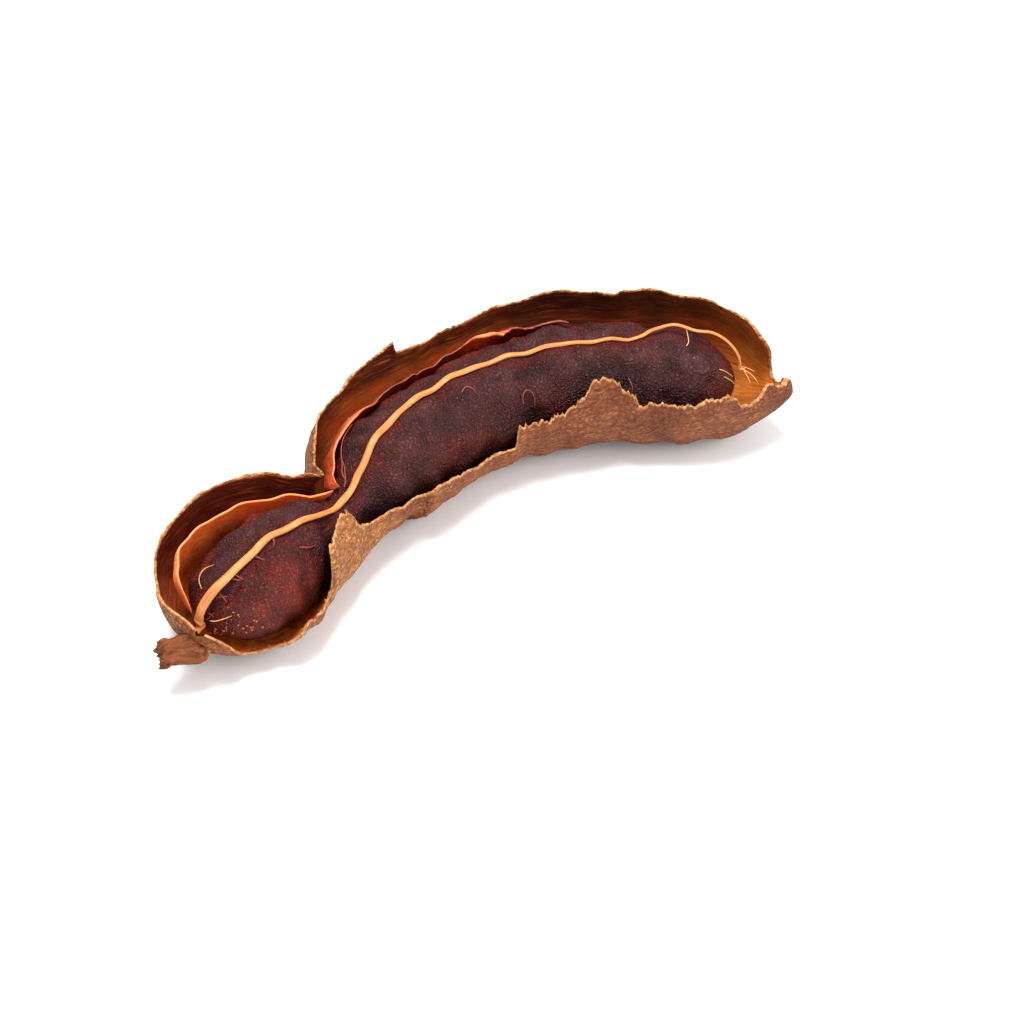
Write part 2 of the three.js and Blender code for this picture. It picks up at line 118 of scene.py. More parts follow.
# Main strand: distance along the pod, angle on the pulp, lift above the pulp, half thickness.
STRAND = np.array([
    (1.2, 52, 2.6, 0.8), (2.6, 62, 2.9, 0.95), (3.4, 67, 2.9, 1.15), (4.8, 76, 2.6, 1.3),
    (7, 85, 2.1, 1.3), (10.5, 92, 1.7, 1.15), (16, 96, 1.4, 1.0), (22.5, 99, 1.35, 0.95),
    (27, 103, 1.3, 0.9), (32, 105, 1.3, 0.85), (37.5, 104, 1.4, 0.85), (41, 101, 1.6, 0.92),
    (44, 97.5, 1.5, 0.92), (48, 95, 1.4, 0.9), (53.5, 93, 1.3, 0.9), (59, 90.5, 1.3, 0.88),
    (65.9, 87.5, 1.25, 0.85), (71.5, 86, 1.2, 0.82), (78, 86.5, 1.2, 0.8), (84, 88.5, 1.15, 0.75),
    (90, 92, 1.15, 0.72), (97, 96, 1.1, 0.65), (104, 97.5, 1.05, 0.6), (112, 96, 1.0, 0.55),
    (117.4, 92, 0.95, 0.5), (119.6, 82, 0.95, 0.5), (121.8, 76, 1.1, 0.48), (125, 75, 1.7, 0.46),
    (128.5, 76, 2.4, 0.45), (131.6, 77, 3.4, 0.43), (134.2, 80, 4.4, 0.41), (136.4, 84, 5.2, 0.4),
    (138.2, 87, 5.5, 0.34),
], float)

# Membranes: distance along the pod, angle of the free edge, share of the gap to the shell there.
MEMBRANE_NEAR = np.array([
    (4.2, 60, 0.5), (5.4, 56, 0.56), (6.5, 51, 0.62), (9, 46, 0.7), (12, 44, 0.7), (15, 43, 0.66),
    (18, 44, 0.56), (22, 46, 0.44), (26, 49, 0.36), (30, 51, 0.3), (34, 54, 0.28), (37, 58, 0.28),
    (39.5, 66, 0.32), (41, 76, 0.38),
], float)
MEMBRANE_LONG = np.array([
    (43.2, 80, 0.4), (44.6, 68, 0.36), (46.4, 58, 0.34), (48.5, 54, 0.36), (50.5, 53, 0.42),
    (53, 53, 0.38), (56, 54, 0.3), (60, 55, 0.22), (65, 56, 0.2), (70, 56, 0.2), (74, 56, 0.24),
    (78, 55, 0.22), (81.5, 55, 0.26), (84.5, 55, 0.42), (87, 56, 0.5), (89.5, 57, 0.46),
    (91.5, 60, 0.36),
], float)

# Stalk: x, y, z, half width, half height, lean of the ring along the stalk.
STALK = np.array([
    (-73.1, 2.9, 10.4, 2.9, 2.6, 0), (-72.4, 2.8, 10.3, 3.0, 2.8, 0),
    (-71.3, 2.6, 10.2, 2.7, 2.6, -0.15), (-70.0, 2.3, 10.0, 2.8, 2.7, -0.4),
    (-68.9, 2.2, 9.8, 3.1, 3.0, -0.6), (-67.6, 2.0, 9.7, 3.0, 2.9, -0.65),
    (-66.6, 1.9, 9.6, 2.4, 2.4, -0.65),
])


def read(rows, x, column=1):
    """Value at x of a table whose rows start with their position."""
    return np.interp(x, rows[:, 0], rows[:, column])


def curve(rows, u):
    """Smooth curve through the rows, u counted in rows."""
    rows = np.asarray(rows, float)
    u = np.clip(np.asarray(u, float), 0, len(rows) - 1)
    padded = np.vstack([2 * rows[0] - rows[1], rows, 2 * rows[-1] - rows[-2]])
    i = np.minimum(u.astype(int), len(rows) - 2)
    t = (u - i)[..., None]
    a, b, c, d = (padded[i + k] for k in range(4))
    square = 2 * a - 5 * b + 4 * c - d
    cube = 3 * b - a - 3 * c + d
    return 0.5 * (2 * b + (c - a) * t + square * t**2 + cube * t**3)


LINE = curve(STATIONS, np.linspace(0, len(STATIONS) - 1, 1801))
DISTANCE = np.concatenate([[0], np.cumsum(np.linalg.norm(np.diff(LINE[:, :3], axis=0), axis=1))])
LENGTH = DISTANCE[-1]
PULP_LINE = curve(PULP, np.linspace(0, len(PULP) - 1, 901))


def on_line(s):
    """Row of the middle line at distance s."""
    return np.stack([np.interp(s, DISTANCE, LINE[:, k]) for k in range(5)], -1)


def section(s):
    """Centre, the directions to the back and up across the pod, and its half sizes at distance s."""
    row = on_line(s)
    along = unit(on_line(np.minimum(s + 0.4, LENGTH))[..., :3] - on_line(np.maximum(s - 0.4, 0))[..., :3])
    back = unit(np.cross([0, 0, 1.0], along))
    return row[..., :3], back, np.cross(along, back), row[..., 3], row[..., 4]


def dome(x, length):
    """Rounding of an end, 0 at the tip and 1 from a length inwards."""
    return np.sqrt(np.maximum(0, 1 - (1 - np.clip(x / length, 0, 1)) ** 2))


def smooth(v):
    """The same step from 0 to 1 with soft ends."""
    return v * v * (3 - 2 * v)


def hill(x, centre, width):
    """1 at the centre, falling smoothly to 0 over about two widths."""
    return np.exp(-(((x - centre) / width) ** 2))


def rise(x, start, end):
    """0 at the start and beyond it, 1 at the end and beyond it, straight in between."""
    return np.clip((x - start) / (end - start), 0, 1)


def fade(x, first, last, length):
    """0 at the first and the last x, 1 from a length inwards."""
    return np.clip(np.minimum(x - first, last - x) / length, 0, 1)


def opening_fade(s, length):
    """0 at both ends of the opening, 1 from a length inwards."""
    return fade(s, *OPENING, length)


def unit(vectors):
    """The vectors at length 1."""
    return vectors / np.linalg.norm(vectors, axis=-1, keepdims=True)


def shell_point(along, deg, inset, relief=0.0):
    """Point of the shell, inset 0 on its outside, moved outwards by relief."""
    s = np.array(along, float)
    start, end = 0.0, LENGTH
    if inset > 0:
        start, end = inset, LENGTH - FAR_WALL
        s = np.where(along < NEAR_RUN, inset + along * (1 - inset / NEAR_RUN), s)
        far = along - (LENGTH - FAR_RUN)
        s = np.where(far > 0, along - FAR_WALL * far / FAR_RUN, s)
    centre, back, up, a, b = section(s)
    cap = dome(s - start, NEAR_CAP) * dome(end - s, FAR_CAP)
    t = np.radians(deg)
    bulge = 0.3 * np.sin(0.42 * s + 1.3 * np.cos(t)) * np.cos(t - 0.12 * s)
    bulge += 0.16 * np.sin(0.71 * s - 2 * t)
    turned = np.where(deg > 270, deg - 360, deg)
    lip = np.where(turned < 95, np.clip((turned - read(BACK_RIM, along) + LIP) / LIP, 0, 1), 0)
    grow = bulge + read(FLARE, along) * smooth(lip) - inset
    raised = relief * np.minimum(1, cap * 3)
    wide = ((a + grow) * cap + raised) * np.cos(t)
    high = ((b + grow) * cap + raised) * np.sin(t)
    point = centre + wide[..., None] * back + high[..., None] * up
    point[..., 2] = np.maximum(point[..., 2], FLOOR + 0.9 * inset)
    return point


def pulp_point(along, deg, lift=0.0):
    """Point of the pulp's skin, or a point lifted off it."""
    start, end = PULP[0, 0], PULP[-1, 0]
    s = np.clip(along, start, end)
    shift_back, shift_up, a, b = (np.interp(s, PULP_LINE[:, 0], PULP_LINE[:, k]) for k in range(1, 5))
    cap = dome(s - start, PULP_NEAR_CAP) * dome(end - s, PULP_FAR_CAP)
    t = np.radians(deg)
    knob = 0.25 * np.sin(0.55 * s + 2 * t) + 0.18 * np.sin(0.9 * s - 3 * t + 1)
    centre, back, up, _, _ = section(np.asarray(along, float))
    wide = shift_back + ((a + knob) * cap + lift) * np.cos(t)
    high = shift_up + ((b + knob) * cap + lift) * np.sin(t)
    return centre + wide[..., None] * back + high[..., None] * up


def strand_row(s):
    """Angle, lift and half thickness of the main strand at distance s."""
    rows = curve(STRAND, np.linspace(0, len(STRAND) - 1, 400))
    return (np.interp(s, rows[:, 0], rows[:, k]) for k in range(1, 4))


def ripple(points, wavelength, seed, waves=20):
    """Random field of about unit size with one wavelength: a seeded sum of sine waves."""
    points = np.asarray(points, float)
    draw = np.random.default_rng(seed)
    heading = draw.normal(size=(waves, points.shape[-1]))
    heading /= np.linalg.norm(heading, axis=1, keepdims=True)
    heading *= (2 * math.pi / (wavelength * draw.uniform(0.7, 1.4, waves)))[:, None]
    phase = draw.uniform(0, 2 * math.pi, waves)
    total = np.zeros(points.shape[:-1])
    for k in range(waves):
        total += np.sin(points @ heading[k] + phase[k])
    return total * math.sqrt(2 / waves)


def crease(field, width):
    """1 along the zero lines of a field and 0 away from them."""
    return hill(field, 0, width)


def line_noise(s, wavelength, seed):
    """Random waves along the pod, of about unit size."""
    return ripple(np.asarray(s, float)[..., None], wavelength, seed, 14)


def to_part(points):
    """Points of the working place as metres in the part's frame."""
    return (np.asarray(points, float) - SHIFT) / MM


def values(items, key, kind=float, width=1):
    """All values of one property of a mesh's vertices, loops or faces."""
    found = np.empty(len(items) * width, kind)
    items.foreach_get(key, found)
    return found.reshape(-1, width) if width > 1 else found


def grid_piece(name, columns, rows, place, drop=None):
    """A grid whose corners are set by place(u, v), with the marks that the finishes read.

    The faces that drop(u, v) chooses are taken away.
    """
    bpy.ops.object.select_all(action="DESELECT")
    bpy.ops.mesh.primitive_grid_add(x_subdivisions=columns, y_subdivisions=rows, size=1)
    piece = bpy.context.object
    piece.name = name
    mesh = piece.data
    mesh.name = name
    flat = values(mesh.vertices, "co", width=3)
    u, v = flat[:, 0] + 0.5, flat[:, 1] + 0.5
    points, marks = place(u, v)
    mesh.vertices.foreach_set("co", to_part(points).ravel())
    for key, mark in marks.items():
        layer = mesh.attributes.new(key, "FLOAT", "POINT")
        layer.data.foreach_set("value", np.broadcast_to(mark, u.shape).astype(np.float32))
    mesh.update()
    bpy.ops.object.mode_set(mode="EDIT")
    if drop is not None:
        bpy.ops.mesh.select_mode(type="FACE")
        bpy.ops.mesh.select_all(action="DESELECT")
        bpy.ops.object.mode_set(mode="OBJECT")
        corners = values(mesh.loops, "vertex_index", np.int32).reshape(-1, 4)
        mesh.polygons.foreach_set("select", drop(u[corners].mean(1), v[corners].mean(1)))
        bpy.ops.object.mode_set(mode="EDIT")
        bpy.ops.mesh.delete(type="FACE")
        bpy.ops.mesh.select_mode(type="VERT")
    bpy.ops.mesh.select_all(action="SELECT")
    bpy.ops.mesh.remove_doubles(threshold=2e-6)
    bpy.ops.mesh.normals_make_consistent(inside=False)
    bpy.ops.mesh.select_all(action="DESELECT")
    bpy.ops.object.mode_set(mode="OBJECT")
    bpy.ops.object.shade_smooth()
    return piece


def finish_piece(piece, material, slot, *nodes):
    """Give a piece its material and the root body, and hide the imported parts of the nodes that it
    stands for. The slot is not used.
    """
    piece.data.materials.clear()
    for item in material if isinstance(material, list) else [material]:
        piece.data.materials.append(item)
    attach(piece, "root")
    if nodes:
        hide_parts(*nodes)


# Finishes.


class Finish:
    """A new material, or a node group, with short calls for its nodes."""

    def __init__(self, name, group=False):
        if group:
            self.tree = bpy.data.node_groups.new(name, "ShaderNodeTree")
            self.start = self.tree.nodes.new("NodeGroupInput")
            self.end = self.tree.nodes.new("NodeGroupOutput")
            return
        self.material = bpy.data.materials.new(name)
        self.material.use_nodes = True
        self.tree = self.material.node_tree
        self.shader = self.tree.nodes["Principled BSDF"]

    def socket(self, name, kind, out=False, default=None):
        made = self.tree.interface.new_socket(
            name=name, in_out="OUTPUT" if out else "INPUT", socket_type="NodeSocket" + kind
        )
        if default is not None:
            made.default_value = default

    def node(self, kind, values=None, **settings):
        made = self.tree.nodes.new("ShaderNode" + kind)
        for key, value in settings.items():
            setattr(made, key, value)
        for key, value in (values or {}).items():
            self.put(made.inputs[key], value)
        return made

    def put(self, socket, value):
        """Link another node's output, or set a plain value."""
        if isinstance(value, bpy.types.NodeSocket):
            self.tree.links.new(value, socket)
        elif socket.type == "RGBA" and len(value) == 3:
            socket.default_value = (*value, 1)
        else:
            socket.default_value = value

    def place(self):
        """Place on the piece, in metres."""
        return self.node("TexCoord").outputs["Object"]

    def mark(self, name):
        """A value that grid_piece stored at the corners."""
        return self.node("Attribute", attribute_name=name).outputs["Fac"]

    def noise(self, scale, detail=4, roughness=0.55):
        made = self.node("TexNoise", {
            "Vector": self.place(), "Scale": scale, "Detail": detail, "Roughness": roughness,
        })
        return made.outputs["Fac"]

    def math(self, operation, a, b, clamp=False):
        made = self.node("Math", {0: a, 1: b}, operation=operation, use_clamp=clamp)
        return made.outputs[0]

    def ramp(self, value, low, high, to_low=0.0, to_high=1.0):
        """Soft step between two values."""
        made = self.node("MapRange", {
            "Value": value, "From Min": low, "From Max": high, "To Min": to_low, "To Max": to_high,
        }, interpolation_type="SMOOTHSTEP")
        return made.outputs["Result"]

    def colours(self, value, stops):
        """Colours that change along a value."""
        made = self.node("ValToRGB", {"Fac": value})
        band = made.color_ramp
        while len(band.elements) < len(stops):
            band.elements.new(0.5)
        for element, (position, colour) in zip(band.elements, stops):
            element.position = position
            element.color = (*colour, 1)
        return made.outputs["Color"]

    def mix(self, amount, a, b):
        """Colour a where the amount is 0, b where it is 1."""
        made = self.node("Mix", data_type="RGBA", clamp_factor=True)
        # The colour sockets of this node are its seventh and eighth.
        for key, value in (("Factor", amount), (6, a), (7, b)):
            self.put(made.inputs[key], value)
        return made.outputs[2]

    def times(self, a, b):
        return self.math("MULTIPLY", a, b)

    def sum(self, a, b, share=1.0):
        """a and a share of b."""
        return self.math("ADD", a, self.times(b, share))

    def inverse(self, mask):
        return self.math("SUBTRACT", 1.0, mask)

    def cover(self, base, colour, mask, amount):
        """The colour over the base where the mask is, up to an amount."""
        return self.mix(self.times(mask, amount), base, colour)

    def stretch(self, scale):
        return self.node("Mapping", {"Vector": self.place(), "Scale": scale}).outputs["Vector"]

    def bump(self, height, distance, strength):
        made = self.node("Bump", {"Height": height, "Distance": distance, "Strength": strength})
        return made.outputs["Normal"]

    def speckle(self, scale, amount):
        return self.use("Speckle", speckle_group, Scale=scale, Amount=amount)["Mask"]

    def wrinkles(self, scale, width, along=1.0):
        """Creases of a scale, drawn out along the pod where along is under 1."""
        vector = self.stretch((along, 1.0, 1.0)) if along != 1 else self.place()
        return self.use("Wrinkles", wrinkle_group, Vector=vector, Scale=scale, Width=width)["Height"]

    def streaks(self, along, across, fineness):
        return self.use("Streaks", streak_group, Along=along, Across=across, Fineness=fineness)["Mask"]

    def use(self, name, make, **inputs):
        """Outputs of a node group, which is made if it isn't there yet."""
        group = bpy.data.node_groups.get(name) or make(name)
        made = self.tree.nodes.new("ShaderNodeGroup")
        made.node_tree = group
        for key, value in inputs.items():
            self.put(made.inputs[key], value)
        return made.outputs

    def shade(self, **inputs):
        for key, value in inputs.items():
            self.put(self.shader.inputs[key.replace("_", " ")], value)


def speckle_group(name):
    """Two sizes of soft spots, as a mask."""
    f = Finish(name, group=True)
    f.socket("Scale", "Float", default=1000.0)
    f.socket("Amount", "Float", default=0.5)
    f.socket("Mask", "Float", out=True)
    scale = f.start.outputs["Scale"]
    fine = f.noise(scale, 3, 0.6)
    broad = f.noise(f.times(scale, 0.27), 3, 0.5)
    low = f.math("SUBTRACT", 0.72, f.times(f.start.outputs["Amount"], 0.28))
    mask = f.ramp(f.sum(f.times(fine, 0.65), broad, 0.35), low, f.math("ADD", low, 0.1))
    f.put(f.end.inputs["Mask"], mask)
    return f.tree


def wrinkle_group(name):
    """Fine creases between small irregular fields, as a height from 0 in a crease to 1."""
    f = Finish(name, group=True)
    f.socket("Vector", "Vector")
    f.socket("Scale", "Float", default=800.0)
    f.socket("Width", "Float", default=0.3)
    f.socket("Height", "Float", out=True)
    vector, scale = f.start.outputs["Vector"], f.start.outputs["Scale"]
    warp = f.node("TexNoise", {"Vector": vector, "Scale": f.times(scale, 0.5), "Detail": 2.0})
    push = f.node("VectorMath", {0: warp.outputs["Color"], 1: (0.5, 0.5, 0.5)}, operation="SUBTRACT")
    size = {0: push.outputs[0], "Scale": f.math("DIVIDE", 0.9, scale)}
    moved = f.node("VectorMath", size, operation="SCALE").outputs[0]
    bent = f.node("VectorMath", {0: vector, 1: moved}, operation="ADD").outputs[0]
    cells = f.node("TexVoronoi", {"Vector": bent, "Scale": scale}, feature="DISTANCE_TO_EDGE")
    f.put(f.end.inputs["Height"], f.ramp(cells.outputs["Distance"], 0.0, f.start.outputs["Width"]))
    return f.tree


def streak_group(name):
    """Fibres running along one direction, as a mask from 0 to 1."""
    f = Finish(name, group=True)
    f.socket("Along", "Float")
    f.socket("Across", "Float")
    f.socket("Fineness", "Float", default=1.0)
    f.socket("Mask", "Float", out=True)
    ends = f.start.outputs
    place = f.node("CombineXYZ", {"X": f.times(ends["Along"], 0.12), "Y": ends["Across"]})
    made = f.node("TexNoise", {
        "Vector": place.outputs[0], "Scale": ends["Fineness"], "Detail": 5.0, "Roughness": 0.6,
    })
    f.put(f.end.inputs["Mask"], made.outputs["Fac"])
    return f.tree


def crumbly_edge(f, base, look, mask):
    """Light grains on the broken edge."""
    edge = f.mix(f.ramp(f.noise(900, 3), 0.4, 0.6), look.rim_light, (0.40, 0.15, 0.05))
    return f.mix(mask, base, edge)


def husk_finish(look):
    """Scurfy tan husk with fine dark lines, which are partly painted shade in its creases, lighter and
    crumbly at the broken edge.
    """
    f = Finish("husk_outside")
    along, rim = f.mark("along"), f.mark("rim")
    base = f.mix(f.ramp(f.noise(110, 4, 0.6), 0.35, 0.65), look.husk_dark, look.husk_tan)
    far = f.mix(f.ramp(f.noise(130, 3), 0.35, 0.65), (0.18, 0.048, 0.017), look.husk_pink)
    base = f.mix(f.ramp(along, 66, 108), base, far)
    flap = f.times(f.ramp(along, 22, 29), f.ramp(along, 38, 48, 1, 0))
    base = f.cover(base, look.husk_light, flap, 0.85)
    lumps = f.wrinkles(1150.0, 0.34, 0.62)
    broad = f.wrinkles(560.0, 0.22, 0.4)
    # Darker in the creases of the wrinkles: the husk's own dark lines, and painted shade in the creases.
    base = f.cover(base, (0.085, 0.022, 0.008), f.inverse(lumps), 0.6)
    base = f.cover(base, (0.10, 0.028, 0.010), f.inverse(broad), 0.5)
    base = f.cover(base, look.husk_scurf, f.speckle(1500.0, 0.62), f.ramp(along, 50, 95, 0.45, 0.2))
    base = f.cover(base, (0.12, 0.032, 0.012), f.speckle(900.0, 0.45), 0.35)
    base = crumbly_edge(f, base, look, f.times(f.ramp(rim, 0.35, 0.95), 0.8))
    height = f.sum(f.times(lumps, 0.7), f.noise(2600, 4, 0.65), 0.9)
    f.shade(
        Base_Color=base,
        Roughness=f.ramp(f.noise(1400, 3), 0.3, 0.7, 0.62, 0.9),
        Normal=f.bump(f.sum(height, broad), 0.00034, 1.0),
        Specular_IOR_Level=0.2,
    )
    return f.material


def lining_finish(look):
    """Inside of the husk: dark brown wall, darker towards the rim as partly painted shade, with orange
    lining left at both tips, and a painted glow low in the long lobe and under the front edge at the
    stalk end.
    """
    f = Finish("husk_lining")
    along, around, rim = f.mark("along"), f.mark("around"), f.mark("rim")
    place = f.math("DIVIDE", along, 150.0)
    # Colours low on the wall, along the pod. The bright orange from 0.42 to 0.57, in the long lobe, is a
    # painted glow where the wall lies in shade.
    deep = f.colours(place, [
        (0.00, (0.62, 0.18, 0.035)), (0.045, (0.30, 0.050, 0.012)), (0.10, (0.15, 0.020, 0.007)),
        (0.27, (0.11, 0.012, 0.005)), (0.35, (0.17, 0.030, 0.008)), (0.42, (0.66, 0.16, 0.028)),
        (0.57, (0.80, 0.20, 0.034)), (0.66, (0.22, 0.036, 0.010)), (0.80, (0.22, 0.040, 0.010)),
        (0.88, (0.48, 0.12, 0.018)), (0.93, (0.50, 0.135, 0.015)),
    ])
    # Darker colours towards the rim, which are partly painted shade.
    high = f.colours(place, [
        (0.00, (0.36, 0.09, 0.02)), (0.06, (0.085, 0.012, 0.005)), (0.30, (0.045, 0.006, 0.003)),
        (0.45, (0.085, 0.014, 0.005)), (0.70, (0.040, 0.007, 0.003)), (0.84, (0.10, 0.020, 0.006)),
        (0.93, (0.36, 0.095, 0.012)),
    ])
    cloud = f.math("SUBTRACT", f.noise(160, 4), 0.5)
    level = f.math("ADD", f.ramp(around, -6, 17), f.times(cloud, 0.9), clamp=True)
    base = f.mix(level, deep, high)
    streaks = f.streaks(along, f.times(around, 0.26), 1.6)
    base = f.mix(f.ramp(streaks, 0.5, 0.72, 0, 0.55), base, f.mix(0.5, deep, (0.75, 0.24, 0.05)))
    base = f.mix(f.ramp(streaks, 0.5, 0.32, 0, 0.55), base, (0.045, 0.007, 0.003))
    # Painted glow: orange laid on the lining under the front edge at the stalk end, in place of light
    # shining through the thin wall.
    front = f.times(f.ramp(around, 176, 190), f.ramp(along, 36, 24))
    front_glow = f.mix(f.ramp(f.noise(400, 3), 0.4, 0.6), (0.88, 0.30, 0.05), (0.62, 0.15, 0.026))
    base = f.cover(base, front_glow, front, 0.92)
    base = crumbly_edge(f, base, look, f.times(f.ramp(rim, 0.55, 1.0), 0.75))
    f.shade(
        Base_Color=base,
        Roughness=f.ramp(streaks, 0.3, 0.7, 0.42, 0.66),
        Normal=f.bump(f.sum(streaks, f.noise(1500, 3), 0.3), 0.0003, 0.6),
        Specular_IOR_Level=0.3,
        Subsurface_Weight=0.3,
        Subsurface_Scale=0.0016,
        Subsurface_Radius=(1.0, 0.3, 0.08),
    )
    return f.material


def pulp_finish(look):
    """Sticky dark pulp with a violet bloom that is partly a painted sheen with painted highlights on its
    top, painted shade in its creases and a painted shadow in the strand's groove, red where it is torn or
    thin.
    """
    f = Finish("pulp_skin")
    red, bloom_and_sheen, groove_shadow = f.mark("red"), f.mark("bloom_and_sheen"), f.mark("groove_shadow")
    base = f.mix(f.ramp(f.noise(130, 4), 0.35, 0.65), look.pulp_dark, look.pulp_brown)
    base = f.cover(base, look.pulp_red, f.ramp(f.noise(75, 3, 0.6), 0.48, 0.66), 0.12)
    base = f.cover(base, look.pulp_red, red, 0.85)
    creases = f.wrinkles(1250.0, 0.3)
    fine = f.wrinkles(2500.0, 0.35)
    # Bloom patches that are partly a painted sheen, lighter on the pulp's top where the light falls.
    bloom_sheen_patches = f.times(bloom_and_sheen, f.ramp(f.noise(240, 4, 0.55), 0.36, 0.66))
    base = f.cover(base, look.pulp_bloom_sheen, bloom_sheen_patches, 0.62)
    # Painted highlights: light grey on the ridges of the fine wrinkles and in small specks, within the
    # sheen patches.
    ridge_highlights = f.times(f.ramp(fine, 0.55, 1.0), f.ramp(f.noise(900, 4, 0.65), 0.44, 0.62))
    base = f.cover(base, (0.27, 0.15, 0.14), f.times(ridge_highlights, bloom_sheen_patches), 0.6)
    base = f.cover(base, (0.25, 0.13, 0.12), f.times(f.speckle(2300.0, 0.5), bloom_sheen_patches), 0.5)
    # Painted shade: darker in the creases of the wrinkles.
    base = f.cover(base, (0.012, 0.003, 0.003), f.inverse(creases), 0.55)
    # Painted shadow: darker in the groove where the strand lies.
    base = f.cover(base, (0.06, 0.005, 0.004), groove_shadow, 0.75)
    height = f.sum(f.sum(creases, fine, 0.4), f.noise(1500, 3, 0.5), 0.5)
    f.shade(
        Base_Color=base,
        Roughness=f.ramp(f.noise(260, 4, 0.55), 0.35, 0.66, 0.3, 0.55),
        Normal=f.bump(height, 0.00028, 0.85),
        Specular_IOR_Level=0.15,
        Subsurface_Weight=0.1,
        Subsurface_Scale=0.0015,
        Subsurface_Radius=(1.0, 0.15, 0.06),
    )
    return f.material


def strand_finish(look):
    """Tan fibre with darker lines along it."""
    f = Finish("strand_fibre")
    lines = f.streaks(f.times(f.mark("along"), 1.4), f.times(f.mark("around"), 0.05), 1.3)
    base = f.mix(f.ramp(lines, 0.38, 0.62), look.strand_deep, look.strand_tan)
    base = f.mix(f.ramp(f.noise(350, 4), 0.55, 0.75, 0, 0.4), base, (0.42, 0.10, 0.018))
    base = f.mix(f.ramp(f.noise(800, 3), 0.58, 0.72, 0, 0.35), base, (0.74, 0.36, 0.13))
    f.shade(
        Base_Color=base,
        Roughness=f.ramp(lines, 0.3, 0.7, 0.42, 0.62),
        Normal=f.bump(f.sum(lines, f.noise(1800, 3), 0.25), 0.00022, 0.7),
        Subsurface_Weight=0.15,
        Subsurface_Scale=0.0008,
        Subsurface_Radius=(1.0, 0.55, 0.25),
    )
    return f.material


def membrane_finish(name, deep, bright):
    """Moist thin skin, lightened as a painted glow, with a painted highlight along its free edge and
    painted shade further below it.
    """
    f = Finish(name)
    drop, edge = f.mark("drop"), f.mark("edge")
    lines = f.streaks(f.times(drop, 9.0), f.times(f.mark("along"), 0.9), 1.3)
    base = f.mix(f.ramp(lines, 0.35, 0.65), deep, bright)
    base = f.mix(f.ramp(f.noise(260, 4), 0.52, 0.7, 0, 0.4), base, (0.22, 0.025, 0.006))
    # Painted shade: darker further below the free edge, down in the gap.
    base = f.mix(f.ramp(drop, 5.0, 11.0, 0, 0.6), base, (0.10, 0.012, 0.005))
    # Painted highlight along the free edge, dimmed where the skin is dull.
    edge_highlight = f.mix(0.5, bright, (0.80, 0.26, 0.08))
    base = f.mix(f.math("MULTIPLY", edge, 0.7, clamp=True), base, edge_highlight)
    base = f.cover(base, (0.10, 0.018, 0.010), f.mark("dull"), 0.8)
    f.shade(
        Base_Color=base,
        Roughness=f.ramp(lines, 0.3, 0.7, 0.28, 0.5),
        Normal=f.bump(f.sum(lines, f.noise(1500, 3), 0.4), 0.0002, 0.6),
        Subsurface_Weight=0.35,
        Subsurface_Scale=0.001,
        Subsurface_Radius=(1.0, 0.3, 0.1),
    )
    return f.material


def bark_finish(look):
    """Rough brown bark of the stalk."""
    f = Finish("stalk_bark")
    lines = f.streaks(f.times(f.mark("along"), 2.0), f.times(f.mark("around"), 0.045), 1.2)
    base = f.mix(f.ramp(lines, 0.35, 0.62), look.bark_dark, look.bark_brown)
    base = f.cover(base, (0.27, 0.092, 0.025), f.speckle(1300.0, 0.6), 0.6)
    f.shade(
        Base_Color=base,
        Roughness=0.85,
        Specular_IOR_Level=0.2,
        Normal=f.bump(f.sum(lines, f.noise(1700, 4), 0.5), 0.0005, 0.8),
    )
    return f.material


def fibre_finish(name, light, dark):
    """Fine loose fibres and crumbs."""
    f = Finish(name)
    f.shade(
        Base_Color=f.mix(f.noise(700, 3), dark, light),
        Roughness=f.ramp(f.noise(1800, 2), 0.3, 0.7, 0.45, 0.7),
        Normal=f.bump(f.noise(3000, 2), 0.0001, 0.5),
    )
    return f.material


def once(name, make, *values):
    """The material of that name, made if it isn't there yet."""
    return bpy.data.materials.get(name) or make(*values)


# What a user can change.


def colour(name, description, default):
    return bpy.props.FloatVectorProperty(
        name=name, description=description, subtype="COLOR", size=3, min=0, max=1, default=default
    )


class PodColours(bpy.types.PropertyGroup):
    """Colours of the pod's surfaces."""

    husk_tan: colour("Husk", "Main colour of the husk", (0.45, 0.155, 0.042))
    husk_dark: colour("Husk shade", "Darker patches of the husk", (0.26, 0.070, 0.019))
    husk_pink: colour("Husk far end", "Colour of the husk toward the beak", (0.31, 0.100, 0.036))
    husk_light: colour("Husk at the waist", "Light flap at the waist", (0.57, 0.225, 0.060))
    husk_scurf: colour("Scurf", "Light grains on the husk", (0.58, 0.26, 0.090))
    rim_light: colour("Broken edge", "Crumbly broken edge", (0.60, 0.31, 0.12))
    pulp_dark: colour("Pulp", "Darkest pulp", (0.019, 0.005, 0.005))
    pulp_brown: colour("Pulp brown", "Purple-brown pulp", (0.048, 0.010, 0.008))
    pulp_red: colour("Pulp red", "Red of thin and torn pulp", (0.19, 0.018, 0.008))
    # Violet-grey bloom, also laid on as a painted sheen on the pulp's top.
    pulp_bloom_sheen: colour("Bloom", "Violet-grey bloom", (0.115, 0.037, 0.034))
    strand_tan: colour("Strand", "Light fibre", (0.59, 0.215, 0.048))
    strand_deep: colour("Strand shade", "Darker lines of the strand", (0.42, 0.125, 0.025))
    bark_brown: colour("Stalk", "Brown bark", (0.17, 0.046, 0.012))
    bark_dark: colour("Stalk shade", "Dark grooves of the bark", (0.07, 0.018, 0.007))


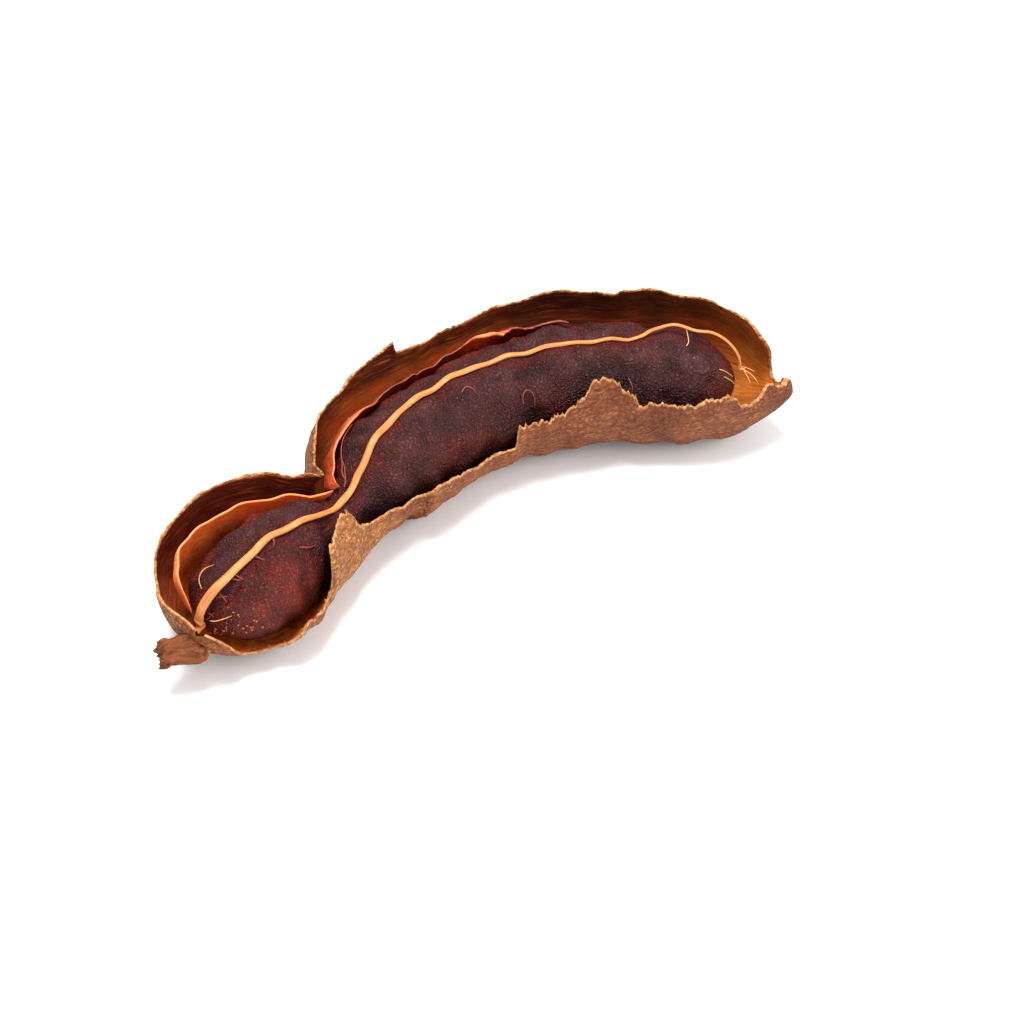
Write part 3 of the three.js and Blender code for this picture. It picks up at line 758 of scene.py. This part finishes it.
class PodSizes(bpy.types.PropertyGroup):
    """Sizes of the pod's finer forms."""

    wall: bpy.props.FloatProperty(
        name="Wall", description="Thickness of the husk", default=0.00075, min=0.0005, max=0.0012,
        unit="LENGTH", precision=5,
    )
    teeth: bpy.props.FloatProperty(
        name="Teeth", description="Height of the teeth of the broken edge", default=0.00032, min=0,
        max=0.001, unit="LENGTH", precision=5,
    )
    fibre: bpy.props.FloatProperty(
        name="Fibre", description="Half thickness of the loose fibres", default=0.00013, min=0.00005,
        max=0.0005, unit="LENGTH", precision=5,
    )
    crumbs: bpy.props.IntProperty(
        name="Crumbs", description="Number of loose crumbs", default=100, min=0, max=500
    )


def look():
    return bpy.context.scene.pod_colours


def sizes():
    return bpy.context.scene.pod_sizes


def rim_angles(s):
    """Angles of the two broken edges with their crumbly teeth."""
    # From the waist to the step in the front edge the shell broke more cleanly.
    clean = rise(s, 38, 44) * rise(s, 85, 82)
    rough = opening_fade(s, 4.0) * (1 - 0.6 * clean)
    tall = sizes().teeth * MM
    coarse = 1.2 * np.sin(2.9 * s) + 0.9 * np.sin(5.3 * s + 1)
    crumb = np.maximum(line_noise(s, 1.5, 3), -0.5) * 2.6 * tall + line_noise(s, 0.8, 4) * 1.1 * tall
    front = read(FRONT_RIM, s) + rough * (coarse * 0.4 - crumb + 0.9 * line_noise(s, 4.0, 5))
    coarse_back = 1.2 * np.sin(2.9 * s + 2) + 0.9 * np.sin(5.3 * s - 1)
    crumb_back = line_noise(s, 1.3, 6) * 1.5 * tall + line_noise(s, 0.7, 7) * 0.8 * tall
    back = read(BACK_RIM, s) + rough * (coarse_back * 0.35 + crumb_back + 0.5 * line_noise(s, 3.5, 8))
    return front, back + 360


class Step:
    """What the steps of the build share."""

    bl_options = {"REGISTER", "UNDO"}


def wear(p):
    """Low relief of the husk's outside."""
    lumps = 0.09 * ripple(p, 8, 21) + 0.05 * ripple(p, 3.2, 22)
    grains = 0.035 * ripple(p, 1.15, 23)
    lines = -0.07 * crease(ripple(p * [0.6, 1, 1], 2.0, 24), 0.22)
    return lumps + grains + lines - 0.05 * np.maximum(0, ripple(p, 1.8, 25) - 1.3)


class OBJECT_OT_pod_husk(Step, bpy.types.Operator):
    """Build the shell with its crumbly broken edge"""

    bl_idname = "object.pod_husk"
    bl_label = "Husk"

    # Shares of the section's outline: the outside, and each broken edge. The inside is the rest.
    OUTER, EDGE = 0.60, 0.035

    def place(self, u, v):
        outer, edge = self.OUTER, self.EDGE
        inner = outer + edge
        s = LENGTH * u
        front, back = rim_angles(s)
        on_back = (v > outer) & (v < inner)
        on_front = v > 1 - edge
        broken = on_back | on_front
        across = np.where(v <= outer, 0.0, 1.0)
        across = np.where(on_back, (v - outer) / edge, across)
        across = np.where(on_front, (1 - v) / edge, across)
        share = np.where(v <= outer, rise(v, 0, outer), 1 - rise(v, inner, 1 - edge))
        deg = front + (back - front) * share
        deg = np.where(on_back, back, np.where(on_front, front, deg))
        smooth_out = shell_point(s, deg, 0)
        outside = shell_point(s, deg, 0, wear(smooth_out))
        inside = shell_point(s, deg, sizes().wall * MM)
        uneven = 0.08 * ripple(inside, 5.0, 31) * opening_fade(s, 6.0)
        inside = inside + (outside - inside) * uneven[..., None]
        # Distance to the nearer broken edge. The wall thins towards it.
        centre, to_back, to_up, _, _ = section(s)
        radius = np.linalg.norm(smooth_out - centre, axis=-1)
        near = np.radians(np.minimum(deg - front, back - deg)) * radius
        thin = 0.42 * hill(near, 0, 1.6) * opening_fade(s, 2.0)
        inside = inside + (outside - inside) * thin[..., None]
        points = outside * (1 - across)[..., None] + inside * across[..., None]
        # The broken edge itself is rounded and lumpy.
        t = np.radians(deg)
        turn = -np.sin(t)[..., None] * to_back + np.cos(t)[..., None] * to_up
        swell = 0.14 * np.sin(math.pi * across) * opening_fade(s, 5.0) * broken
        swell *= 1 + 0.4 * ripple(points, 1.2, 32)
        points += turn * (swell * np.where(on_back, 1, -1))[..., None]
        points[:, 2] = np.maximum(points[:, 2], FLOOR)
        rim = hill(near, 0, 0.5 + 0.2 * ripple(points, 2.0, 33)) * opening_fade(s, 2.0)
        rim = np.where(broken, 1.0, rim)
        return points, {"along": s, "around": np.where(deg > 300, deg - 360, deg), "rim": rim}

    def closed(self, u, v):
        """Faces of the broken edges where the shell is whole."""
        shut = (LENGTH * u < OPENING[0]) | (LENGTH * u > OPENING[1])
        return shut & ((v > 1 - self.EDGE) | ((v > self.OUTER) & (v < self.OUTER + self.EDGE)))

    def execute(self, context):
        piece = grid_piece("husk", 440, 200, self.place, self.closed)
        outside = once("husk_outside", husk_finish, look())
        lining = once("husk_lining", lining_finish, look())
        finish_piece(piece, [outside, lining], "shell", "shell")
        # Faces that look to the middle line take the lining.
        mesh = piece.data
        centres = values(mesh.polygons, "center", width=3) * MM + SHIFT
        nearest = np.array([np.argmin(((LINE[::9, :3] - c) ** 2).sum(1)) for c in centres]) * 9
        away = centres - LINE[nearest, :3]
        inwards = (values(mesh.polygons, "normal", width=3) * away).sum(1) < 0
        rim = values(mesh.attributes["rim"].data, "value", np.float32)
        corners = values(mesh.loops, "vertex_index", np.int32)
        starts = values(mesh.polygons, "loop_start", np.int32)
        edge_face = rim[corners[starts]] > 0.995
        mesh.polygons.foreach_set("material_index", (inwards & ~edge_face).astype(np.int32))
        mesh.update()
        return {"FINISHED"}


class OBJECT_OT_pod_pulp(Step, bpy.types.Operator):
    """Build the pulp, wrinkled and swollen over its seeds"""

    bl_idname = "object.pod_pulp"
    bl_label = "Pulp"

    def place(self, u, v):
        start, end = PULP[0, 0], PULP[-1, 0]
        s = start + (end - start) * (u - 0.0225 * np.sin(2 * math.pi * u))
        deg = 360 * v
        p = pulp_point(s, deg)
        angle, _, half = strand_row(s)
        width = np.interp(s, PULP_LINE[:, 0], PULP_LINE[:, 3])
        side = np.radians(deg - angle) * width
        relief = 0.22 * ripple(p, 10, 41) + 0.14 * ripple(p, 4.5, 42)
        relief -= 0.13 * crease(ripple(p * [0.8, 1, 1], 3.0, 43), 0.3)
        relief -= 0.07 * crease(ripple(p, 1.5, 44), 0.3)
        relief += 0.035 * ripple(p, 0.9, 45)
        # The strand lies in a groove, and the skin is torn on its near side.
        groove = hill(side, 0, half + 0.9)
        relief = relief * (1 - 0.6 * groove) - 0.22 * groove
        torn = hill(side - half, 1.5, 0.9) * np.clip(ripple(p, 1.7, 46), 0, 1.5)
        torn *= 1.5 * rise(s, 24, 14) + 0.35
        relief -= 0.6 * np.clip(torn, 0, 1.8)
        # Below the front edge at the stalk the pulp has shrunk from the shell.
        relief -= hill(deg, 215, 48) * hill(s, 13, 9)
        points = pulp_point(s, deg, relief * fade(s, start, end, 5))
        red = 1.3 * hill(deg, 152, 34) * hill(s, 15, 9) * (0.75 + 0.25 * ripple(p, 5, 50))
        red += 0.3 * hill(deg, 168, 24) * np.clip(ripple(p, 14, 53), 0, 1)
        red += 0.35 * hill(deg, 160, 22) * hill(s, 64, 6)
        red += 0.9 * hill(deg, 48, 16) * np.clip(0.6 + 0.5 * ripple(p, 6, 47), 0, 1)
        red += 0.9 * torn + 0.6 * hill(s, 5, 3) + 0.5 * hill(s, 135, 3)
        red += 0.5 * hill(side, 0, half + 1.8) * (ripple(p, 3, 48) > 0.5)
        red = np.clip(red, 0, 1)
        # Bloom with a painted sheen on the pulp's top where the light falls: none at the stalk end, less
        # on the red, on the near lobe's front side and at the waist.
        bloom_and_sheen = hill(deg, 98, 42) * np.clip(0.75 + 0.35 * ripple(p, 9, 49), 0, 1)
        bloom_and_sheen *= rise(s, 8, 16) * (1 - 0.75 * red)
        bloom_and_sheen *= 1 - 0.6 * rise(s, 38, 32) * rise(deg, 92, 117)
        bloom_and_sheen *= 1 - 0.6 * hill(s, 44, 6)
        # The groove mark is a painted shadow under the strand.
        return points, {"red": red, "bloom_and_sheen": np.clip(bloom_and_sheen, 0, 1), "groove_shadow": np.clip(groove * 1.1, 0, 1)}

    def execute(self, context):
        piece = grid_piece("pulp_body", 430, 210, self.place)
        finish_piece(piece, once("pulp_skin", pulp_finish, look()), "pulp", "pulp")
        return {"FINISHED"}


class OBJECT_OT_pod_strand(Step, bpy.types.Operator):
    """Build the main strand along the top of the pulp"""

    bl_idname = "object.pod_strand"
    bl_label = "Main strand"

    # Its thickness as a share of the table's.
    SLIM = 0.76

    def on_strand(self, u):
        """Distance, angle, lift and half thickness at share u of the strand's length."""
        return curve(STRAND, np.clip(u, 0, 1) * (len(STRAND) - 1)).T

    def place(self, u, v):
        s, angle, lift, half = self.on_strand(u)
        half = self.SLIM * half
        # It lies in the pulp's groove, apart from both ends.
        seated = rise(s, 9, 17) * rise(s, 120, 115)
        centre = pulp_point(s, angle, lift * (1 - seated) + 0.4 * half * seated)
        ahead, behind = (pulp_point(*self.on_strand(u + step)[:3]) for step in (0.002, -0.002))
        along = unit(ahead - behind)
        side = unit(np.cross([0, 0, 1.0], along))
        up = np.cross(along, side)
        t = 2 * math.pi * v
        ring = np.stack([s * 0.13, np.cos(t), np.sin(t)], -1)
        ridge = 1 + 0.035 * ripple(ring, 0.9, 51) + 0.02 * line_noise(s, 8.0, 52)
        wide = half * ridge * np.sqrt(fade(u, 0, 1, 0.004))
        points = centre + (wide * np.cos(t))[:, None] * side + (0.72 * wide * np.sin(t))[:, None] * up
        return points, {"along": s, "around": np.degrees(t) * half}

    def execute(self, context):
        piece = grid_piece("strand", 620, 28, self.place)
        finish_piece(piece, once("strand_fibre", strand_finish, look()), "main_strand", "main_strand")
        return {"FINISHED"}


class OBJECT_OT_pod_membranes(Step, bpy.types.Operator):
    """Build the thin skins that stand between pulp and husk"""

    bl_idname = "object.pod_membranes"
    bl_label = "Membranes"

    def sheet(self, name, rows, end, seed, columns, material, node):
        """A skin that hangs from its free edge, down between pulp and shell, as far as end."""
        first, last = rows[0, 0], rows[-1, 0]

        def place(u, v):
            s = first + (end - first) * u
            # Past the table's last row the skin lies down on the pulp.
            over = np.clip((s - last) / max(end - last, 0.1), 0, 1)
            taper = np.clip(np.minimum(0.3 + (s - first) / 6, 0.15 + (end - s) / 9), 0, 1)
            side = np.where(v < 0.5, -1.0, 1.0)
            drop = np.abs(2 * v - 1) ** 1.4
            torn = rise(s, 82, 88)
            ragged = (0.3 + 2.0 * torn) * line_noise(s, 5.0, seed)
            ragged += (0.1 + 0.9 * torn) * line_noise(s, 1.9, seed + 1)
            ragged *= fade(s, first, end, 3)
            # The long skin is sunk before its bright curl.
            sunk = rise(s, 58, 65) * rise(s, 87, 84)
            curl = hill(s, 89, 2.6)
            reach = 70 * taper * drop
            deg = read(rows, s) + (ragged - 5 * sunk + 5 * curl) * (1 - drop) - reach
            low = pulp_point(s, deg)
            gap = shell_point(s, deg, WALL) - low
            length = np.linalg.norm(gap, axis=-1)
            share = read(rows, s, 2) * (1 - over) + 0.07 * over
            wave = 0.06 * np.sin(1.1 * s) + 0.06 * line_noise(s, 5.0, seed + 2)
            wave *= (1 - drop) * (1 - 0.7 * over)
            middle = np.clip(share * (1 - 0.5 * drop) * length + wave, 0.3, length - 0.5)
            middle += 0.07 * ripple(low, 3.0, seed + 3) * drop
            # Millimetres below the free edge, which is the thickest part.
            fall = np.radians(reach) * 12
            foot = np.sqrt(np.clip((1 - drop) / 0.02, 0, 1))
            half = 0.10 + (0.15 - 0.09 * sunk + 0.22 * curl) * hill(fall, 0, 0.6)
            half *= dome(fall, 0.3) * foot * np.sqrt(fade(u, 0, 1, 0.01))
            points = low + gap / length[:, None] * (middle + side * half)[:, None]
            dull = np.clip(sunk + (s > 92) * rise(s, 91, 94), 0, 1)
            # Where the free edge takes its painted highlight: strongest at the curl, dimmed where the
            # skin is dull.
            edge = hill(fall, 0, 0.55) * (1 + curl) * (1 - 0.85 * dull)
            return points, {"along": s, "drop": fall, "edge": edge, "dull": dull}

        finish_piece(grid_piece(name, columns, 64, place), material, node, node)

    def execute(self, context):
        # Both skins' colours are lightened as a painted glow, for the shade between pulp and husk that
        # they lie in.
        orange = ("membrane_orange", (0.80, 0.115, 0.018), (0.95, 0.23, 0.045))
        red = ("membrane_red", (0.34, 0.034, 0.010), (0.58, 0.105, 0.028))
        near, far = (once(tone[0], membrane_finish, *tone) for tone in (orange, red))
        near_end = MEMBRANE_NEAR[-1, 0]
        self.sheet("membrane_near_skin", MEMBRANE_NEAR, near_end, 61, 220, near, "membrane_near")
        self.sheet("membrane_long_skin", MEMBRANE_LONG, 104.0, 71, 380, far, "membrane_long")
        return {"FINISHED"}


class OBJECT_OT_pod_stalk(Step, bpy.types.Operator):
    """Build the broken stalk"""

    bl_idname = "object.pod_stalk"
    bl_label = "Stalk"

    def place(self, u, v):
        # Both ends of the grid close the stub with flat discs.
        start, end = 0.06, 0.96
        row = curve(STALK, np.clip((u - start) / (end - start), 0, 1) * (len(STALK) - 1))
        along = unit(np.array([0.97, -0.18, -0.13]))
        side = unit(np.cross([0, 0, 1.0], along))
        up = np.cross(along, side)
        t = 2 * math.pi * v
        ring = np.stack([row[:, 0] * 0.16, np.cos(t), np.sin(t)], -1)
        ridge = 1 + 0.10 * np.cos(4 * t + 0.6) + 0.05 * ripple(ring, 0.9, 81)
        ridge -= 0.07 * crease(ripple(ring, 1.1, 82), 0.35)
        ridge *= rise(u, 0, start) * rise(u, 1, end)
        wide = row[:, 3] * ridge * np.cos(t)
        high = row[:, 4] * ridge * np.sin(t)
        flat = np.stack([wide, high], -1)
        rough = 0.35 * ripple(flat, 2.2, 83) + 0.18 * ripple(flat, 0.9, 84)
        rough *= rise(row[:, 0] - STALK[0, 0], 1.5, 0)
        shift = row[:, 5] * wide + rough
        points = row[:, :3] + wide[:, None] * side + high[:, None] * up + shift[:, None] * along
        return points, {"along": row[:, 0], "around": np.degrees(t)}

    def execute(self, context):
        piece = grid_piece("stalk_stub", 90, 120, self.place)
        finish_piece(piece, once("stalk_bark", bark_finish, look()), "stalk", "stalk")
        return {"FINISHED"}


class OBJECT_OT_pod_fibres(Step, bpy.types.Operator):
    """Lay the fine loose fibres on pulp, strand and husk"""

    bl_idname = "object.pod_fibres"
    bl_label = "Fibres"

    # Each fibre: distance, angle and lift of its points on the pulp.
    LIGHT = [
        [(126.4, 96, 0.1), (126.8, 88, 0.5), (126.4, 80, 1.0), (126.0, 76, 1.6)],
        [(133.0, 112, 0.1), (134.2, 109, 0.6), (135.4, 107, 1.0), (136.2, 105, 1.3)],
        [(134.4, 118, 0.1), (135.4, 117, 0.6), (136.8, 117, 1.4), (137.8, 118, 2.4)],
        [(137.8, 87, 5.4), (138.4, 93, 5.2), (139.2, 101, 4.6), (139.8, 109, 4.0)],
        [(135.4, 82, 4.8), (137.0, 76, 5.2), (138.6, 75, 5.2), (140.2, 78, 5.0)],
        [(138.0, 88, 5.4), (139.2, 91, 5.2), (140.4, 96, 4.6), (141.4, 102, 3.6)],
        [(8.6, 62, 0.1), (9.6, 60, 0.7), (11.2, 62, 0.8), (12.6, 66, 0.2)],
        [(4.4, 96, 1.6), (4.8, 108, 1.0), (5.6, 118, 0.5), (6.6, 124, 0.2)],
    ]
    RED = [
        [(88.0, 148, 0.2), (88.4, 139, 0.8), (89.6, 135, 1.1), (90.8, 139, 0.8), (91.2, 148, 0.4),
         (90.8, 156, 0.2)],
        [(114.8, 140, 0.2), (115.5, 146, 0.6), (115.8, 152, 0.5), (115.4, 158, 0.2)],
        [(75.8, 110, 0.2), (77.2, 107, 0.4), (78.4, 112, 0.4), (78.6, 119, 0.2)],
        [(45.2, 84, 1.0), (46.6, 74, 1.4), (49.0, 66, 1.5), (52.0, 60, 1.6), (56.0, 58, 1.4)],
        [(43.6, 86, 1.3), (46.0, 80, 1.2), (48.4, 71, 1.3), (50.4, 62, 1.6)],
        [(24.6, 126, 0.1), (26.4, 133, 0.4), (28.4, 136, 0.1)],
    ]

    def fringe(self):
        """Short torn fibres between the strand and the pulp at the stalk end."""
        draw = np.random.default_rng(95)
        made = []
        for s in (4.6, 5.5, 7.9, 8.6, 11.6, 12.3, 16.4, 21.0):
            angle = read(STRAND, s) + 4
            reach = draw.uniform(7, 15) * np.interp(s, [4, 14, 27], [1.5, 1.0, 0.7])
            lean = draw.uniform(-1.4, 1.6)
            top = draw.uniform(0.08, 0.4)
            middle = (s + 0.4 * lean, angle + 0.5 * reach, top)
            made.append([(s, angle, 0.5), middle, (s + lean, angle + reach, 0.0)])
        return made

    def bundle(self, name, fibres, half, material, slot):
        """Smooth thin fibres, narrowing most towards their last end, as one piece."""
        bpy.ops.object.select_all(action="DESELECT")
        bpy.ops.curve.primitive_bezier_curve_add()
        piece = bpy.context.object
        piece.name = name
        data = piece.data
        data.splines.clear()
        data.dimensions = "3D"
        data.bevel_depth = half
        data.bevel_resolution = 2
        data.use_fill_caps = True
        for rows in fibres:
            path = curve(rows, np.linspace(0, len(rows) - 1, 8 * len(rows)))
            points = to_part(pulp_point(*path.T))
            spline = data.splines.new("POLY")
            spline.points.add(len(points) - 1)
            spline.points.foreach_set("co", np.column_stack([points, np.ones(len(points))]).ravel())
            thin = 0.35 + 0.65 * np.sin(np.linspace(0.25, 1, len(points)) * math.pi) ** 0.6
            spline.points.foreach_set("radius", thin)
        bpy.ops.object.convert(target="MESH")
        bpy.ops.object.shade_smooth()
        finish_piece(bpy.context.object, material, slot)

    def execute(self, context):
        half = sizes().fibre
        pale = ("fibre_light", (0.82, 0.46, 0.17), (0.62, 0.24, 0.06))
        dark = ("fibre_red", (0.22, 0.030, 0.012), (0.11, 0.012, 0.006))
        light, red = (once(tone[0], fibre_finish, *tone) for tone in (pale, dark))
        self.bundle("fibres_light", self.LIGHT, half * 0.6, light, "main_strand")
        self.bundle("fibres_red", self.RED, half, red, "membrane_long")
        self.bundle("torn_fringe", self.fringe(), half * 1.15, red, "pulp")
        return {"FINISHED"}


class OBJECT_OT_pod_crumbs(Step, bpy.types.Operator):
    """Scatter the crumbs of broken husk and lining"""

    bl_idname = "object.pod_crumbs"
    bl_label = "Crumbs"

    def spot(self, kind, draw):
        """A place on the pulp at the stalk, on the lining under the front edge, or on the long pulp."""
        if kind == 0:
            return pulp_point(draw.uniform(3, 10), draw.uniform(110, 175), 0.1)
        if kind == 1:
            s = np.array(draw.uniform(4, 26))
            return shell_point(s, read(FRONT_RIM, s) + draw.uniform(3, 20), sizes().wall * MM)
        return pulp_point(draw.uniform(20, 138), draw.uniform(70, 160), 0.05)

    def execute(self, context):
        draw = np.random.default_rng(91)
        made = []
        for k in range(sizes().crumbs):
            kind = k % 3
            spot = self.spot(kind, draw)
            size = draw.uniform(0.10, 0.26) * (0.35 if kind == 2 else 1)
            bpy.ops.object.select_all(action="DESELECT")
            bpy.ops.mesh.primitive_ico_sphere_add(subdivisions=2, radius=1, calc_uvs=False)
            points = context.object.data.vertices
            ball = values(points, "co", width=3)
            lump = ball * (1 + 0.25 * ripple(ball, 1.4, 200 + k, 6))[:, None] * draw.uniform(0.6, 1.2, 3)
            points.foreach_set("co", to_part(spot + lump * size).ravel())
            made.append(context.object)
        if not made:
            return {"FINISHED"}
        for crumb in made:
            crumb.select_set(True)
        bpy.ops.object.join()
        piece = context.object
        piece.name = "crumbs"
        piece.data.name = "crumbs"
        material = once("crumb", fibre_finish, "crumb", (0.42, 0.13, 0.028), (0.20, 0.040, 0.012))
        finish_piece(piece, material, "shell")
        return {"FINISHED"}


def facing(direction):
    """Rotation of a camera or light that looks along the direction."""
    return Vector(direction).to_track_quat("-Z", "Y").to_euler()


class OBJECT_OT_pod_stage(Step, bpy.types.Operator):
    """Set the pale floor, the soft lights and the camera"""

    bl_idname = "object.pod_stage"
    bl_label = "Stage"

    # Where the camera stands: degrees to the pod's left and above it, and metres away from the pod.
    LEFT, ABOVE, AWAY = 31, 45, 0.6

    def light(self, context, name, place, size, power):
        """A square light that shines on the pod's middle."""
        data = bpy.data.lights.new(name, "AREA")
        data.size = size
        data.energy = power
        lamp = bpy.data.objects.new(name, data)
        context.scene.collection.objects.link(lamp)
        lamp.location = place
        lamp.rotation_euler = facing(np.array([0, 0, 0.01]) - place)

    def execute(self, context):
        bpy.ops.object.select_all(action="DESELECT")
        bpy.ops.mesh.primitive_plane_add(size=6)
        floor = context.object
        floor.name = "floor"
        paper = Finish("floor_paper")
        paper.shade(
            Base_Color=paper.mix(paper.noise(3, 2), (0.90, 0.90, 0.90), (0.93, 0.93, 0.93)),
            Roughness=0.9,
        )
        floor.data.materials.append(paper.material)
        turn, rise_angle = math.radians(self.LEFT), math.radians(self.ABOVE)
        toward = np.array([-math.sin(turn), -math.cos(turn), math.tan(rise_angle)]) * math.cos(rise_angle)
        data = bpy.data.cameras.new("camera")
        data.lens = 110.0
        data.sensor_width = 36.0
        data.clip_start = 0.01
        camera = bpy.data.objects.new("camera", data)
        context.scene.collection.objects.link(camera)
        camera.location = to_part([0.5, 0, 12]) + self.AWAY * toward
        camera.rotation_euler = facing(-toward)
        context.scene.camera = camera
        self.light(context, "key", (-0.05, 0.05, 0.85), 0.36, 13.0)
        self.light(context, "fill", (0.45, -0.6, 0.5), 0.6, 5.0)
        world = bpy.data.worlds.new("studio")
        world.use_nodes = True
        background = world.node_tree.nodes["Background"]
        background.inputs["Color"].default_value = (1, 1, 1, 1)
        background.inputs["Strength"].default_value = 0.85
        context.scene.world = world
        context.scene.view_settings.view_transform = "Standard"
        return {"FINISHED"}


STEPS = ("stage", "husk", "pulp", "strand", "membranes", "stalk", "fibres", "crumbs")


class VIEW3D_PT_pod(bpy.types.Panel):
    """Steps and settings of the pod"""

    bl_idname = "VIEW3D_PT_pod"
    bl_label = "Tamarind pod"
    bl_space_type = "VIEW_3D"
    bl_region_type = "UI"
    bl_category = "Tamarind"

    def draw(self, context):
        for step in STEPS:
            self.layout.operator("object.pod_" + step)
        for group in (context.scene.pod_sizes, context.scene.pod_colours):
            for key in group.bl_rna.properties.keys():
                if key not in {"rna_type", "name"}:
                    self.layout.prop(group, key)


CLASSES = (
    PodColours, PodSizes, OBJECT_OT_pod_stage, OBJECT_OT_pod_husk, OBJECT_OT_pod_pulp,
    OBJECT_OT_pod_strand, OBJECT_OT_pod_membranes, OBJECT_OT_pod_stalk, OBJECT_OT_pod_fibres,
    OBJECT_OT_pod_crumbs, VIEW3D_PT_pod,
)


def register():
    for item in CLASSES:
        bpy.utils.register_class(item)
    bpy.types.Scene.pod_colours = bpy.props.PointerProperty(type=PodColours)
    bpy.types.Scene.pod_sizes = bpy.props.PointerProperty(type=PodSizes)


def unregister():
    del bpy.types.Scene.pod_sizes
    del bpy.types.Scene.pod_colours
    for item in reversed(CLASSES):
        bpy.utils.unregister_class(item)


def main():
    register()
    for step in STEPS:
        getattr(bpy.ops.object, "pod_" + step)()


if __name__ == "__main__":
    main()
